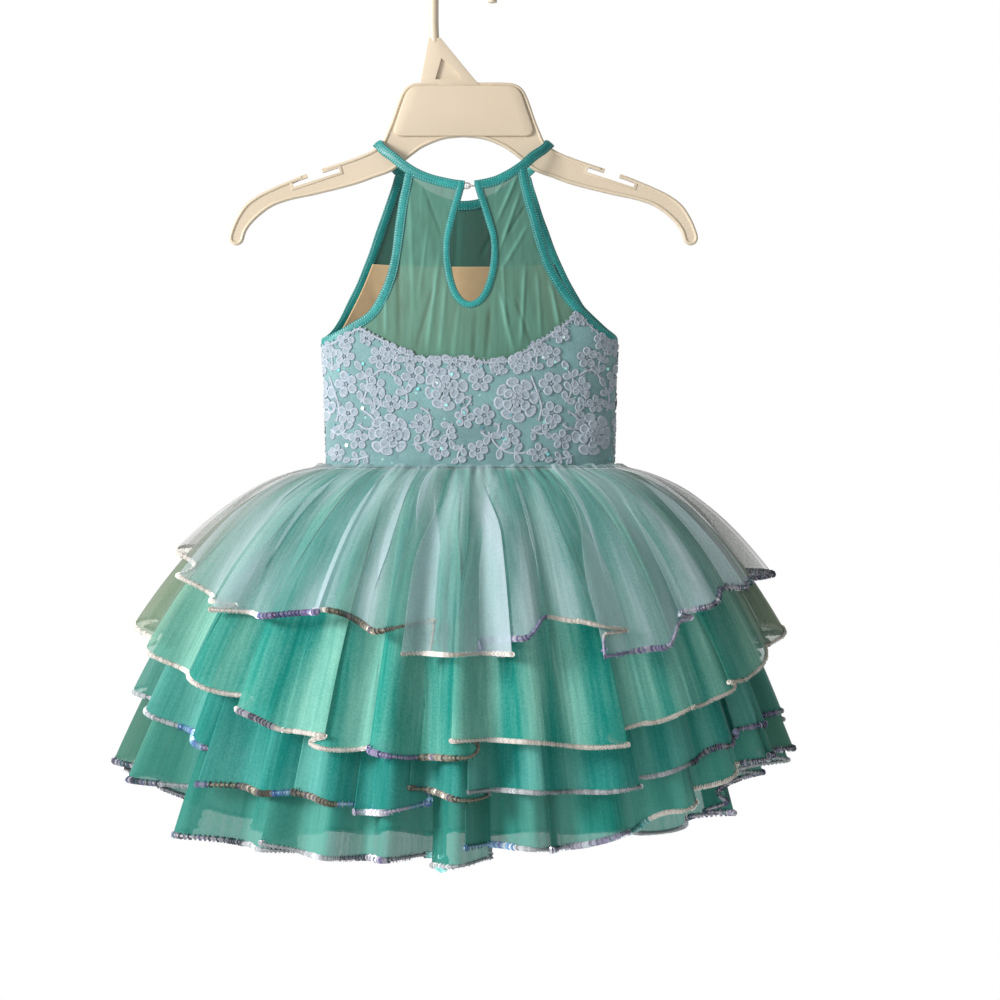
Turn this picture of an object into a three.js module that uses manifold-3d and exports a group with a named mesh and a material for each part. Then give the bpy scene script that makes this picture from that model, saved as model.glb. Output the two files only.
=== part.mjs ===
// A child's tutu dance costume on a plastic hanger. Millimetres, +Z up.
// -Y is the costume's back, which has the keyhole, and +Y its front. The origin is the
// seat of the hanger's hook, the point that rests on a rod.
// Everything worn is a thin wall laid on one torso form: an ellipse at each height. A place
// on it is an angle, from 0 at the centre of the back through 90 at +X to 180 at the front.
import * as THREE from "three";
import { mergeVertices } from "three/addons/utils/BufferGeometryUtils.js";
import Module from "manifold-3d";

const wasm = await Module();
wasm.setup();

// ---- Driving dimensions ----

const SEAM_GAP = 0.3;
const CLOTH = 1.2;
const BODICE_CLOTH = 1.5;
const BAND = { width: 7.6, thickness: 2.0 };
const KEYHOLE_BAND = { width: 5.6, thickness: 2.0 };
const WAIST_Z = -387;

// The torso form: centre, half width and half depth at each height.
const TORSO = [
  { z: -142, centre: 0.4, width: 65.8, depth: 17.5 },
  { z: -150, centre: 0.4, width: 68.4, depth: 18 },
  { z: -176, centre: 0.5, width: 75, depth: 19 },
  { z: -233, centre: 2, width: 95, depth: 24 },
  { z: -261, centre: 3.5, width: 104, depth: 26 },
  { z: -290, centre: 5, width: 112, depth: 28 },
  { z: -330, centre: 5.5, width: 109.5, depth: 29.5 },
  { z: -388, centre: 5.5, width: 108.5, depth: 31 },
];

// Edges, as x and z of their centre lines. Where `front` is true the point is at +Y.
const NECK_BACK = [
  { x: -62.4, z: -145.8 },
  { x: -54, z: -153 },
  { x: -45, z: -160.5 },
  { x: -36.5, z: -166 },
  { x: -23, z: -171.5 },
  { x: -8.5, z: -175 },
  { x: 5, z: -176.3 },
  { x: 22, z: -173.5 },
  { x: 30.5, z: -170 },
  { x: 45.5, z: -160.5 },
  { x: 54.5, z: -152.5 },
  { x: 63.2, z: -145.8 },
];
const NECK_FRONT = [
  { x: -62.4, z: -145.8, front: true },
  { x: -48, z: -164, front: true },
  { x: -25, z: -181.5, front: true },
  { x: 0, z: -188, front: true },
  { x: 25, z: -181.5, front: true },
  { x: 48, z: -164, front: true },
  { x: 63.2, z: -145.8, front: true },
];
const NECK_TOP_Z = -142.6;
const NECK_OPENING = { left: 1.5, right: 8.7 };
const ARMHOLE_LEFT = [
  { x: -38, z: -155 },
  { x: -44, z: -185 },
  { x: -46.8, z: -203 },
  { x: -51, z: -233.5 },
  { x: -57.8, z: -256 },
  { x: -68.5, z: -273.5 },
  { x: -84.5, z: -284 },
  { x: -99, z: -291.5 },
  { x: -107, z: -294, side: -90 },
  { x: -99, z: -288, front: true },
  { x: -85, z: -264, front: true },
  { x: -72, z: -234, front: true },
  { x: -61, z: -203, front: true },
  { x: -54, z: -183, front: true },
  { x: -44, z: -150, front: true },
];
const ARMHOLE_RIGHT = [
  { x: 43, z: -152 },
  { x: 48, z: -180 },
  { x: 53.6, z: -200 },
  { x: 64, z: -235 },
  { x: 79.8, z: -261 },
  { x: 97.5, z: -280.5 },
  { x: 110, z: -289.5 },
  { x: 117, z: -294, side: 90 },
  { x: 110, z: -286, front: true },
  { x: 96, z: -262, front: true },
  { x: 80, z: -232, front: true },
  { x: 66, z: -200, front: true },
  { x: 56, z: -180, front: true },
  { x: 44, z: -150, front: true },
];
const BACK_SEAM = [
  { x: -84, z: -274 },
  { x: -73.5, z: -285 },
  { x: -62.5, z: -291 },
  { x: -39.5, z: -304 },
  { x: -27.5, z: -307.5 },
  { x: -8.5, z: -306.5 },
  { x: 23, z: -309 },
  { x: 38, z: -306 },
  { x: 61.5, z: -291 },
  { x: 81.5, z: -276 },
  { x: 92, z: -262 },
];
const FRONT_SEAM = [
  { x: -100, z: -262, front: true },
  { x: -78, z: -279, front: true },
  { x: -50, z: -292, front: true },
  { x: -22, z: -303, front: true },
  { x: 3, z: -311, front: true },
  { x: 30, z: -303, front: true },
  { x: 58, z: -292, front: true },
  { x: 86, z: -279, front: true },
  { x: 108, z: -262, front: true },
];
const LINING = { top: -233, bottom: -326, sideAngle: 68 };
const KEYHOLE = [
  { x: -2.5, z: -180.6 },
  { x: -7.5, z: -198 },
  { x: -11.8, z: -218 },
  { x: -10.5, z: -242 },
  { x: -4.5, z: -260 },
  { x: 5.5, z: -266.5 },
  { x: 16, z: -260 },
  { x: 23, z: -240 },
  { x: 23.8, z: -218 },
  { x: 18.5, z: -198 },
  { x: 13, z: -180.6 },
];

// The skirt: four gathered tiers. `out` is how far the hem stands out from the waist and
// `drop` how far it hangs below it, at each angle round the body. Sudden changes of drop are
// the ends of panels that lap over each other.
const GATHERS = 26;
const TIER_STEP = 1.65;
const TIERS = [
  {
    name: "tier_1_lavender",
    color: 0xa9b4c6,
    ripple: 4,
    slope: 0.06,
    hem: [
      { angle: -90, out: 117, drop: 59 },
      { angle: -73, out: 117, drop: 81 },
      { angle: -60, out: 116, drop: 98 },
      { angle: -42, out: 114, drop: 110 },
      { angle: -27, out: 112, drop: 105 },
      { angle: -17, out: 111, drop: 120 },
      { angle: -11, out: 110, drop: 112 },
      { angle: -7, out: 113, drop: 137 },
      { angle: 4, out: 113, drop: 135 },
      { angle: 10, out: 111, drop: 125 },
      { angle: 15, out: 111, drop: 110 },
      { angle: 21, out: 111, drop: 114 },
      { angle: 28, out: 113, drop: 138 },
      { angle: 38, out: 113, drop: 133 },
      { angle: 46, out: 112, drop: 111 },
      { angle: 60, out: 111, drop: 91 },
      { angle: 74, out: 112, drop: 86 },
      { angle: 90, out: 112, drop: 80 },
      { angle: 120, out: 108, drop: 98 },
      { angle: 150, out: 111, drop: 122 },
      { angle: 180, out: 111, drop: 130 },
      { angle: 210, out: 112, drop: 122 },
      { angle: 240, out: 112, drop: 90 },
    ],
  },
  {
    name: "tier_2_mint",
    color: 0x6fc2a8,
    ripple: 3,
    slope: 0.1,
    hem: [
      { angle: -90, out: 141, drop: 114 },
      { angle: -75, out: 141, drop: 132 },
      { angle: -59, out: 138, drop: 151 },
      { angle: -46, out: 133, drop: 166 },
      { angle: -33, out: 130, drop: 190 },
      { angle: -22, out: 128, drop: 203 },
      { angle: -16, out: 127, drop: 199 },
      { angle: -10, out: 127, drop: 208 },
      { angle: -3, out: 127, drop: 207 },
      { angle: 1, out: 128, drop: 195 },
      { angle: 9, out: 128, drop: 196 },
      { angle: 22, out: 127, drop: 201 },
      { angle: 34, out: 126, drop: 185 },
      { angle: 46, out: 125, drop: 174 },
      { angle: 60, out: 124, drop: 157 },
      { angle: 78, out: 125, drop: 133 },
      { angle: 90, out: 125, drop: 118 },
      { angle: 120, out: 125, drop: 152 },
      { angle: 150, out: 126, drop: 192 },
      { angle: 180, out: 127, drop: 205 },
      { angle: 210, out: 128, drop: 192 },
      { angle: 240, out: 134, drop: 148 },
    ],
  },
  {
    name: "tier_3_teal",
    color: 0x46a99a,
    ripple: 2.5,
    slope: 0.14,
    hem: [
      { angle: -90, out: 140, drop: 163 },
      { angle: -75, out: 140, drop: 176 },
      { angle: -58, out: 138, drop: 195 },
      { angle: -51, out: 135, drop: 205 },
      { angle: -46, out: 131, drop: 229 },
      { angle: -38, out: 128, drop: 234 },
      { angle: -30, out: 127, drop: 231 },
      { angle: -24, out: 126, drop: 240 },
      { angle: -16, out: 125, drop: 246 },
      { angle: -10, out: 125, drop: 238 },
      { angle: -6, out: 124, drop: 226 },
      { angle: -1, out: 124, drop: 238 },
      { angle: 4, out: 124, drop: 230 },
      { angle: 24, out: 124, drop: 232 },
      { angle: 35, out: 123, drop: 223 },
      { angle: 46, out: 122, drop: 213 },
      { angle: 54, out: 121, drop: 203 },
      { angle: 70, out: 121, drop: 190 },
      { angle: 90, out: 121, drop: 181 },
      { angle: 120, out: 121, drop: 206 },
      { angle: 150, out: 122, drop: 234 },
      { angle: 180, out: 122, drop: 243 },
      { angle: 210, out: 124, drop: 234 },
      { angle: 240, out: 133, drop: 198 },
    ],
  },
  {
    name: "tier_4_deep",
    color: 0x2f8c7c,
    ripple: 4,
    slope: 0.2,
    hem: [
      { angle: -90, out: 152, drop: 215 },
      { angle: -75, out: 150, drop: 226 },
      { angle: -60, out: 144, drop: 233 },
      { angle: -52, out: 136, drop: 248 },
      { angle: -45, out: 132, drop: 270 },
      { angle: -39, out: 129, drop: 276 },
      { angle: -35, out: 127, drop: 262 },
      { angle: -30, out: 126, drop: 277 },
      { angle: -22, out: 124, drop: 278 },
      { angle: -7, out: 121, drop: 276 },
      { angle: -4, out: 121, drop: 283 },
      { angle: 0, out: 120, drop: 264 },
      { angle: 4, out: 120, drop: 273 },
      { angle: 18, out: 121, drop: 271 },
      { angle: 31, out: 122, drop: 260 },
      { angle: 40, out: 123, drop: 246 },
      { angle: 48, out: 124, drop: 233 },
      { angle: 60, out: 125, drop: 217 },
      { angle: 75, out: 127, drop: 210 },
      { angle: 90, out: 127, drop: 208 },
      { angle: 111, out: 127, drop: 233 },
      { angle: 125, out: 127, drop: 267 },
      { angle: 140, out: 124, drop: 286 },
      { angle: 180, out: 121, drop: 289 },
      { angle: 220, out: 128, drop: 286 },
      { angle: 240, out: 140, drop: 262 },
      { angle: 253, out: 147, drop: 238 },
    ],
  },
];
const TIER_ROWS = [0, 0.17, 0.42, 0.7, 1];

// The hanger: half of its outline, from the top of the plate to the tip and back to the
// middle of the lower edge, the same on both sides of the centre line.
const HANGER_CENTRE = 0.4;
const HANGER_HALF = [
  { x: -32, z: -96.5 },
  { x: -39.5, z: -97.8 },
  { x: -45, z: -102 },
  { x: -49, z: -110 },
  { x: -54, z: -124.5 },
  { x: -57.6, z: -133.5 },
  { x: -62, z: -142.5 },
  { x: -70.5, z: -148.6 },
  { x: -82, z: -153.5 },
  { x: -95, z: -158 },
  { x: -119.5, z: -166 },
  { x: -134, z: -171.8 },
  { x: -145, z: -176.5 },
  { x: -156, z: -182 },
  { x: -165, z: -188.8 },
  { x: -171, z: -197 },
  { x: -175.3, z: -206 },
  { x: -177.6, z: -214 },
  { x: -176, z: -218.4 },
  { x: -171.5, z: -219.8 },
  { x: -167.3, z: -217 },
  { x: -164.6, z: -209 },
  { x: -158, z: -200.5 },
  { x: -146, z: -191 },
  { x: -131.5, z: -185.5 },
  { x: -111.5, z: -181.2 },
  { x: -83, z: -174 },
  { x: -54, z: -163.5 },
  { x: -45.5, z: -156.8 },
  { x: -29.5, z: -145 },
  { x: -15, z: -139.3 },
];
const HANGER = { thickness: 7, rim: 2.7, web: 2.4, plateThickness: 10 };
const PLATE = [
  { x: -42, z: -98.5 },
  { x: -51.5, z: -127 },
  { x: -50, z: -134 },
  { x: -44, z: -137 },
];
const GUSSET = [
  { x: -33, z: -100 },
  { x: -26, z: -62.3 },
  { x: -17.2, z: -62.3 },
  { x: 8, z: -93 },
  { x: 14, z: -100 },
];
const GUSSET_POCKET = [
  { x: -16.5, z: -78 },
  { x: -21, z: -94 },
  { x: -2, z: -94 },
  { x: -3.5, z: -89.5 },
];
const NOTCH = {
  x: -113,
  z: -164,
  slope: 18,
  mouth: 12,
  lip: 2.8,
  slot: 37,
  slotDepth: 3.6,
  shelf: 2.2,
};
const HOOK = { strand: 7.4, bend: 22.2, shaftEnd: -62, tipEnd: -35.7 };
const WIRE = 0.55;
const TORSO_RADIUS = 60;

// ---- Materials ----

const finish = (color, roughness, metalness = 0) =>
  new THREE.MeshStandardMaterial({ color, roughness, metalness });
const PLASTIC = finish(0xe6d5b8, 0.45);
const SPANDEX = finish(0x1e9691, 0.5);
const MESH_CLOTH = finish(0x5f9682, 0.6);
const LACE_CLOTH = finish(0xb4c8cc, 0.75);
const NUDE_CLOTH = finish(0xcda578, 0.7);
const STEEL = finish(0xc8ccd0, 0.25, 1);

// ---- The torso form ----

const radians = THREE.MathUtils.degToRad;
const easeBetween = (a, b, t) => THREE.MathUtils.lerp(a, b, t * t * (3 - 2 * t));

function torsoAt(z) {
  const last = TORSO.length - 1;
  const below = TORSO.findIndex((row) => row.z <= z);
  const b = TORSO[below < 0 ? last : Math.max(below, 1)];
  const a = TORSO[TORSO.indexOf(b) - 1];
  const t = THREE.MathUtils.clamp((a.z - z) / (a.z - b.z), 0, 1);
  return {
    centre: THREE.MathUtils.lerp(a.centre, b.centre, t),
    width: THREE.MathUtils.lerp(a.width, b.width, t),
    depth: THREE.MathUtils.lerp(a.depth, b.depth, t),
  };
}

function torsoPoint(angle, z) {
  const { centre, width, depth } = torsoAt(z);
  return new THREE.Vector3(centre + width * Math.sin(angle), -depth * Math.cos(angle), z);
}

function torsoNormal(angle, z) {
  const { width, depth } = torsoAt(z);
  return new THREE.Vector3(Math.sin(angle) / width, -Math.cos(angle) / depth, 0).normalize();
}

// The place of an edge table's row, as a Vector2 of angle and height. Places at +Y run on from
// -90 at the left side to -270 at the right one, plus any full turn that the line starts from.
function placeOf({ x, z, front, side }, turn) {
  if (side !== undefined) return new THREE.Vector2(radians(side), z);
  const { centre, width } = torsoAt(z);
  const angle = Math.asin(THREE.MathUtils.clamp((x - centre) / width, -1, 1));
  return new THREE.Vector2(front ? turn - Math.PI - angle : angle, z);
}

// A smooth line of places through an edge table.
function smoothLine(rows, steps, turn = 0) {
  const places = rows.map((row) => placeOf(row, turn));
  const flat = places.map((p) => new THREE.Vector3(p.x * TORSO_RADIUS, p.y, 0));
  const curve = new THREE.CatmullRomCurve3(flat, false, "centripetal");
  return curve.getPoints(steps).map((p) => new THREE.Vector2(p.x / TORSO_RADIUS, p.y));
}

// The frames along a line of places: point, outward normal and the direction across it.
// A lift tips the normals upwards where the line passes over the hanger's arms.
function framesOf(line, lift = 0) {
  const points = line.map((p) => torsoPoint(p.x, p.y));
  return points.map((point, i) => {
    const before = points[Math.max(i - 1, 0)];
    const after = points[Math.min(i + 1, points.length - 1)];
    const along = after.clone().sub(before).normalize();
    const normal = torsoNormal(line[i].x, line[i].y);
    normal.z += lift * Math.sin(line[i].x) ** 16;
    normal.addScaledVector(along, -normal.dot(along)).normalize();
    return { point, normal, across: normal.clone().cross(along) };
  });
}

// The line that runs beside another at a distance over the torso.
function besideLine(line, distance) {
  return framesOf(line).map(({ point, across }, i) => {
    const moved = point.clone().addScaledVector(across, distance);
    const { centre, width, depth } = torsoAt(moved.z);
    const angle = Math.atan2((moved.x - centre) / width, -moved.y / depth);
    const turns = Math.round((line[i].x - angle) / (2 * Math.PI));
    return new THREE.Vector2(angle + turns * 2 * Math.PI, moved.z);
  });
}

// The height of a line at an angle: the highest place where it passes that angle.
function heightAt(line, angle, missing) {
  let best = missing;
  for (let i = 1; i < line.length; i++) {
    const [a, b] = [line[i - 1], line[i]];
    if ((a.x - angle) * (b.x - angle) > 0 || a.x === b.x) continue;
    const z = a.y + ((b.y - a.y) * (angle - a.x)) / (b.x - a.x);
    best = best === missing ? z : Math.max(best, z);
  }
  return best;
}

// The first crossing of two lines, as positions along each.
function crossing(first, second) {
  for (let i = 1; i < first.length; i++)
    for (let j = 1; j < second.length; j++) {
      const d1 = first[i].clone().sub(first[i - 1]);
      const d2 = second[j].clone().sub(second[j - 1]);
      const gap = second[j - 1].clone().sub(first[i - 1]);
      const span = d1.cross(d2);
      const t = gap.cross(d2) / span;
      const s = gap.cross(d1) / span;
      if (t >= 0 && t <= 1 && s >= 0 && s <= 1) return [i - 1 + t, j - 1 + s];
    }
  throw new Error("two edges of a panel do not cross");
}

// A place along a line at share 0 to 1 of the stretch between two positions.
function alongLine(line, from, to, share) {
  const at = THREE.MathUtils.clamp(from + (to - from) * share, 0, line.length - 1);
  const i = Math.min(Math.floor(at), line.length - 2);
  return line[i].clone().lerp(line[i + 1], at - i);
}

// ---- Walls and bands ----

// A closed wall from grids of outer and inner points, rows from top to bottom.
function wallGeometry(outer, inner, closed) {
  const rows = outer.length;
  const columns = outer[0].length;
  const positions = [...outer.flat(), ...inner.flat()].flatMap((p) => p.toArray());
  const faces = [];
  const at = (side, r, c) => side * rows * columns + r * columns + (c % columns);
  const quad = (a, b, c, d) => faces.push(a, b, c, a, c, d);
  const spans = closed ? columns : columns - 1;
  for (let c = 0; c < spans; c++) {
    for (let r = 0; r < rows - 1; r++) {
      quad(at(0, r, c), at(0, r + 1, c), at(0, r + 1, c + 1), at(0, r, c + 1));
      quad(at(1, r, c), at(1, r, c + 1), at(1, r + 1, c + 1), at(1, r + 1, c));
    }
    quad(at(0, 0, c), at(0, 0, c + 1), at(1, 0, c + 1), at(1, 0, c));
    const r = rows - 1;
    quad(at(0, r, c), at(1, r, c), at(1, r, c + 1), at(0, r, c + 1));
  }
  if (!closed)
    for (let r = 0; r < rows - 1; r++) {
      quad(at(0, r, 0), at(1, r, 0), at(1, r + 1, 0), at(0, r + 1, 0));
      const c = columns - 1;
      quad(at(0, r, c), at(0, r + 1, c), at(1, r + 1, c), at(1, r, c));
    }
  const geometry = new THREE.BufferGeometry();
  geometry.setAttribute("position", new THREE.Float32BufferAttribute(positions, 3));
  geometry.setIndex(faces);
  return geometry;
}

// A wall on the torso from a grid of places, between two depths off the form.
function torsoWall(places, innerDepth, outerDepth) {
  const layer = (depth) =>
    places.map((row) =>
      row.map((p) => torsoPoint(p.x, p.y).addScaledVector(torsoNormal(p.x, p.y), depth)),
    );
  return wallGeometry(layer(outerDepth), layer(innerDepth), false);
}

// A flat band along frames, with a rectangular section.
function bandGeometry(frames, { width, thickness }) {
  const corner = (frame, side, face) =>
    frame.point
      .clone()
      .addScaledVector(frame.across, (side * width) / 2)
      .addScaledVector(frame.normal, (face * thickness) / 2 + CLOTH / 2);
  const layer = (face) => [
    frames.map((frame) => corner(frame, -1, face)),
    frames.map((frame) => corner(frame, 1, face)),
  ];
  return wallGeometry(layer(1), layer(-1), false);
}

// Turns a closed geometry so that its faces point outwards.
function outward(geometry) {
  const p = geometry.getAttribute("position");
  const index = geometry.index.array;
  const [a, b, c] = [new THREE.Vector3(), new THREE.Vector3(), new THREE.Vector3()];
  let volume = 0;
  for (let i = 0; i < index.length; i += 3) {
    a.fromBufferAttribute(p, index[i]);
    b.fromBufferAttribute(p, index[i + 1]);
    c.fromBufferAttribute(p, index[i + 2]);
    volume += a.dot(b.cross(c));
  }
  if (volume < 0)
    for (let i = 0; i < index.length; i += 3)
      [index[i + 1], index[i + 2]] = [index[i + 2], index[i + 1]];
  return geometry;
}

// ---- Joining and cutting ----

function solidOf(geometry) {
  const bare = geometry.clone();
  bare.deleteAttribute("normal");
  bare.deleteAttribute("uv");
  const merged = mergeVertices(bare, 1e-4);
  return new wasm.Manifold(
    new wasm.Mesh({
      numProp: 3,
      vertProperties: merged.getAttribute("position").array,
      triVerts: new Uint32Array(merged.index.array),
    }),
  );
}

function geometryOf(solid) {
  const { vertProperties, triVerts } = solid.getMesh();
  const geometry = new THREE.BufferGeometry();
  geometry.setAttribute("position", new THREE.BufferAttribute(vertProperties, 3));
  geometry.setIndex(new THREE.BufferAttribute(triVerts, 1));
  geometry.computeVertexNormals();
  return geometry;
}

// A plate cut to an outline of x and z, between two values of y.
function plate(outline, nearY, farY) {
  const shape = new THREE.Shape(outline.map(({ x, z }) => new THREE.Vector2(x, z)));
  const geometry = new THREE.ExtrudeGeometry(shape, {
    depth: farY - nearY,
    bevelEnabled: false,
  });
  return geometry.rotateX(Math.PI / 2).translate(0, farY, 0);
}

const costume = new THREE.Group();

function add(name, geometry, material) {
  if (geometry.index) outward(geometry);
  geometry.computeVertexNormals();
  const mesh = new THREE.Mesh(geometry, material);
  mesh.name = name;
  costume.add(mesh);
}

// ---- Edges that the pieces share ----

const EDGE = BAND.width / 2 + 0.7;
const CURVE_STEPS = 60;
const neckBack = smoothLine(NECK_BACK, CURVE_STEPS);
const neckFront = smoothLine(NECK_FRONT, CURVE_STEPS);
const armholeLeft = smoothLine(ARMHOLE_LEFT, CURVE_STEPS);
const armholeRight = smoothLine(ARMHOLE_RIGHT, CURVE_STEPS, 2 * Math.PI);
const backSeam = smoothLine(BACK_SEAM, CURVE_STEPS);
const frontSeam = smoothLine(FRONT_SEAM, CURVE_STEPS);
const keyhole = smoothLine(KEYHOLE, 36);

const bodyEdgeLeft = besideLine(armholeLeft, EDGE);
const bodyEdgeRight = besideLine(armholeRight, -EDGE);
const frontEdgeRight = bodyEdgeRight
  .map((p) => new THREE.Vector2(p.x - 2 * Math.PI, p.y))
  .reverse();
const frontEdgeLeft = [...bodyEdgeLeft].reverse();
const neckBackEdge = besideLine(neckBack, -EDGE);
const neckFrontEdge = besideLine(neckFront, EDGE);

// ---- Neckband and bindings ----

const LOOP_LIFT = 1.2;
const backLeft = NECK_BACK.filter(({ x }) => x < NECK_OPENING.left).reverse();
const backRight = NECK_BACK.filter(({ x }) => x > NECK_OPENING.right).reverse();
const openingZ = -176.3;
const overArm = (side) => [
  { side: side + 13, z: NECK_TOP_Z - 0.6 },
  { side, z: NECK_TOP_Z },
  { side: side - 13, z: NECK_TOP_Z - 0.6 },
];
const sideOf = (row) => ({
  side: THREE.MathUtils.radToDeg(placeOf(row, 0).x) - 360,
  z: row.z,
});
const NECK_RING = [
  { x: NECK_OPENING.left, z: openingZ },
  ...backLeft,
  ...overArm(-90),
  ...NECK_FRONT,
  ...overArm(-270),
  ...backRight.map(sideOf),
  sideOf({ x: NECK_OPENING.right, z: openingZ }),
];
const neckRing = smoothLine(NECK_RING, 76);
add("neckband", bandGeometry(framesOf(neckRing, LOOP_LIFT), BAND), SPANDEX);

// Each armhole's binding starts and ends just under the neckband.
function armholeBand(line, turn) {
  const start = crossing(line, neckBackEdge)[0];
  const frontNeck = neckFrontEdge.map((p) => new THREE.Vector2(p.x + turn, p.y));
  const end = crossing([...line].reverse(), frontNeck)[0];
  const clear = 1.4;
  const stations = Array.from({ length: 37 }, (_, i) =>
    alongLine(line, start + clear, line.length - 1 - end - clear, i / 36),
  );
  return bandGeometry(framesOf(stations), BAND);
}
add("armhole_binding_left", armholeBand(armholeLeft, 0), SPANDEX);
add("armhole_binding_right", armholeBand(armholeRight, 2 * Math.PI), SPANDEX);
add("keyhole_binding", bandGeometry(framesOf(keyhole), KEYHOLE_BAND), SPANDEX);

// ---- Yokes, bodice and lining ----

// A panel between four edges that cross at its corners.
function panelPlaces(top, bottom, left, right, columns, rows) {
  const [topA, leftA] = crossing(top, left);
  const [topB, rightA] = crossing(top, right);
  const [bottomA, leftB] = crossing(bottom, left);
  const [bottomB, rightB] = crossing(bottom, right);
  const corner = (u, v) =>
    alongLine(v ? bottom : top, v ? bottomA : topA, v ? bottomB : topB, u);
  return Array.from({ length: rows + 1 }, (_, r) => {
    const v = r / rows;
    return Array.from({ length: columns + 1 }, (_, c) => {
      const u = c / columns;
      const place = alongLine(top, topA, topB, u).multiplyScalar(1 - v);
      place.addScaledVector(alongLine(bottom, bottomA, bottomB, u), v);
      place.addScaledVector(alongLine(left, leftA, leftB, v), 1 - u);
      place.addScaledVector(alongLine(right, rightA, rightB, v), u);
      place.addScaledVector(corner(0, 0), -(1 - u) * (1 - v));
      place.addScaledVector(corner(1, 0), -u * (1 - v));
      place.addScaledVector(corner(0, 1), -(1 - u) * v);
      return place.addScaledVector(corner(1, 1), -u * v);
    });
  });
}

const HALF_GAP = 0.25;
const backYoke = torsoWall(
  panelPlaces(
    neckBackEdge,
    besideLine(backSeam, HALF_GAP),
    bodyEdgeLeft,
    bodyEdgeRight,
    24,
    13,
  ),
  0,
  CLOTH,
);
const keyholeCut = besideLine(keyhole, -(KEYHOLE_BAND.width / 2 + SEAM_GAP)).map((p) =>
  torsoPoint(p.x, p.y),
);
const cutTopZ = -160;
keyholeCut.unshift({ x: keyholeCut[0].x, z: cutTopZ });
keyholeCut.push({ x: keyholeCut.at(-1).x, z: cutTopZ });
const keyholeTool = solidOf(plate(keyholeCut, -40, 0));
add(
  "back_yoke",
  geometryOf(solidOf(outward(backYoke)).subtract(keyholeTool)),
  MESH_CLOTH,
);
add(
  "front_yoke",
  torsoWall(
    panelPlaces(
      neckFrontEdge,
      besideLine(frontSeam, -HALF_GAP),
      frontEdgeLeft,
      frontEdgeRight,
      24,
      8,
    ),
    0,
    CLOTH,
  ),
  MESH_CLOTH,
);

// A bodice half hangs from the lower of the armhole edge and the seam under the yoke.
function bodiceHalf(middle, seam, left, right) {
  const columns = 38;
  const rows = 5;
  const reach = radians(89.7);
  const places = Array.from({ length: rows + 1 }, (_, r) =>
    Array.from({ length: columns + 1 }, (_, c) => {
      const angle = middle + reach * ((2 * c) / columns - 1);
      const open = Infinity;
      const top = Math.min(
        heightAt(seam, angle, open),
        heightAt(left, angle, open),
        heightAt(right, angle, open),
      );
      return new THREE.Vector2(angle, THREE.MathUtils.lerp(top, WAIST_Z, (r / rows) ** 1.6));
    }),
  );
  return torsoWall(places, 0, BODICE_CLOTH);
}
add(
  "back_bodice",
  bodiceHalf(0, besideLine(backSeam, -HALF_GAP), bodyEdgeLeft, bodyEdgeRight),
  LACE_CLOTH,
);
add(
  "front_bodice",
  bodiceHalf(-Math.PI, besideLine(frontSeam, HALF_GAP), frontEdgeLeft, frontEdgeRight),
  LACE_CLOTH,
);

// The nude lining hangs inside the front, between the armhole edges and the side seams.
function liningPlaces() {
  const [columns, rows] = [18, 7];
  const angleAt = (line, z, limit) => {
    const swapped = line.map((p) => new THREE.Vector2(p.y, p.x));
    const angle = heightAt(swapped, z, limit);
    return Math.abs(angle + Math.PI) < Math.abs(limit + Math.PI) ? angle : limit;
  };
  return Array.from({ length: rows + 1 }, (_, r) => {
    const z = THREE.MathUtils.lerp(LINING.top, LINING.bottom, r / rows);
    const limit = radians(LINING.sideAngle);
    const frontHalf = (line, sign) =>
      line.filter((p) => (p.x + Math.PI) * sign > 0 && Math.abs(p.x + Math.PI) < Math.PI / 2);
    const from = angleAt(frontHalf(frontEdgeLeft, 1), z, -Math.PI + limit);
    const to = angleAt(frontHalf(frontEdgeRight, -1), z, -Math.PI - limit);
    return Array.from(
      { length: columns + 1 },
      (_, c) => new THREE.Vector2(THREE.MathUtils.lerp(from, to, c / columns), z),
    );
  });
}
add("front_lining", torsoWall(liningPlaces(), -CLOTH - 0.5, -0.5), NUDE_CLOTH);

// ---- Hook and eye of the keyhole ----

function wire(points, radius, steps) {
  const section = new THREE.Shape().absarc(0, 0, radius, 0, 2 * Math.PI);
  const path = new THREE.CatmullRomCurve3(points.map((p) => new THREE.Vector3(...p)));
  return new THREE.ExtrudeGeometry(section, {
    steps,
    curveSegments: 3,
    extrudePath: path,
    bevelEnabled: false,
  });
}
const closure = torsoPoint(0, openingZ);
const wireY = closure.y - CLOTH / 2 + BAND.thickness / 2 + SEAM_GAP + WIRE + CLOTH / 2;
const EYE = { from: -4, to: 5.8, half: 2 };
const CLOSING_HOOK = { from: 13, to: 2.9, back: 7.4, lift: 2 };
add(
  "closure_eye",
  wire(
    [
      [EYE.from, wireY, openingZ + EYE.half],
      [EYE.to - 1.4, wireY, openingZ + EYE.half],
      [EYE.to, wireY, openingZ],
      [EYE.to - 1.4, wireY, openingZ - EYE.half],
      [EYE.from, wireY, openingZ - EYE.half],
    ],
    WIRE,
    16,
  ),
  STEEL,
);
add(
  "closure_hook",
  wire(
    [
      [CLOSING_HOOK.from, wireY + CLOSING_HOOK.lift, openingZ],
      [CLOSING_HOOK.back, wireY + CLOSING_HOOK.lift, openingZ],
      [CLOSING_HOOK.to, wireY, openingZ],
      [CLOSING_HOOK.back, wireY - CLOSING_HOOK.lift, openingZ],
    ],
    WIRE,
    16,
  ),
  STEEL,
);

// ---- Skirt ----

// The gathers' phase round the body: uneven, and the same for every tier at the waist.
const phaseDrift = (angle) => 0.9 * Math.sin(3 * angle + 0.5) + 0.6 * Math.sin(5 * angle + 2);
const foldDepth = (angle) =>
  1 + 0.35 * Math.sin(4 * angle + 1) + 0.25 * Math.sin(7 * angle + 2.2);

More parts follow.
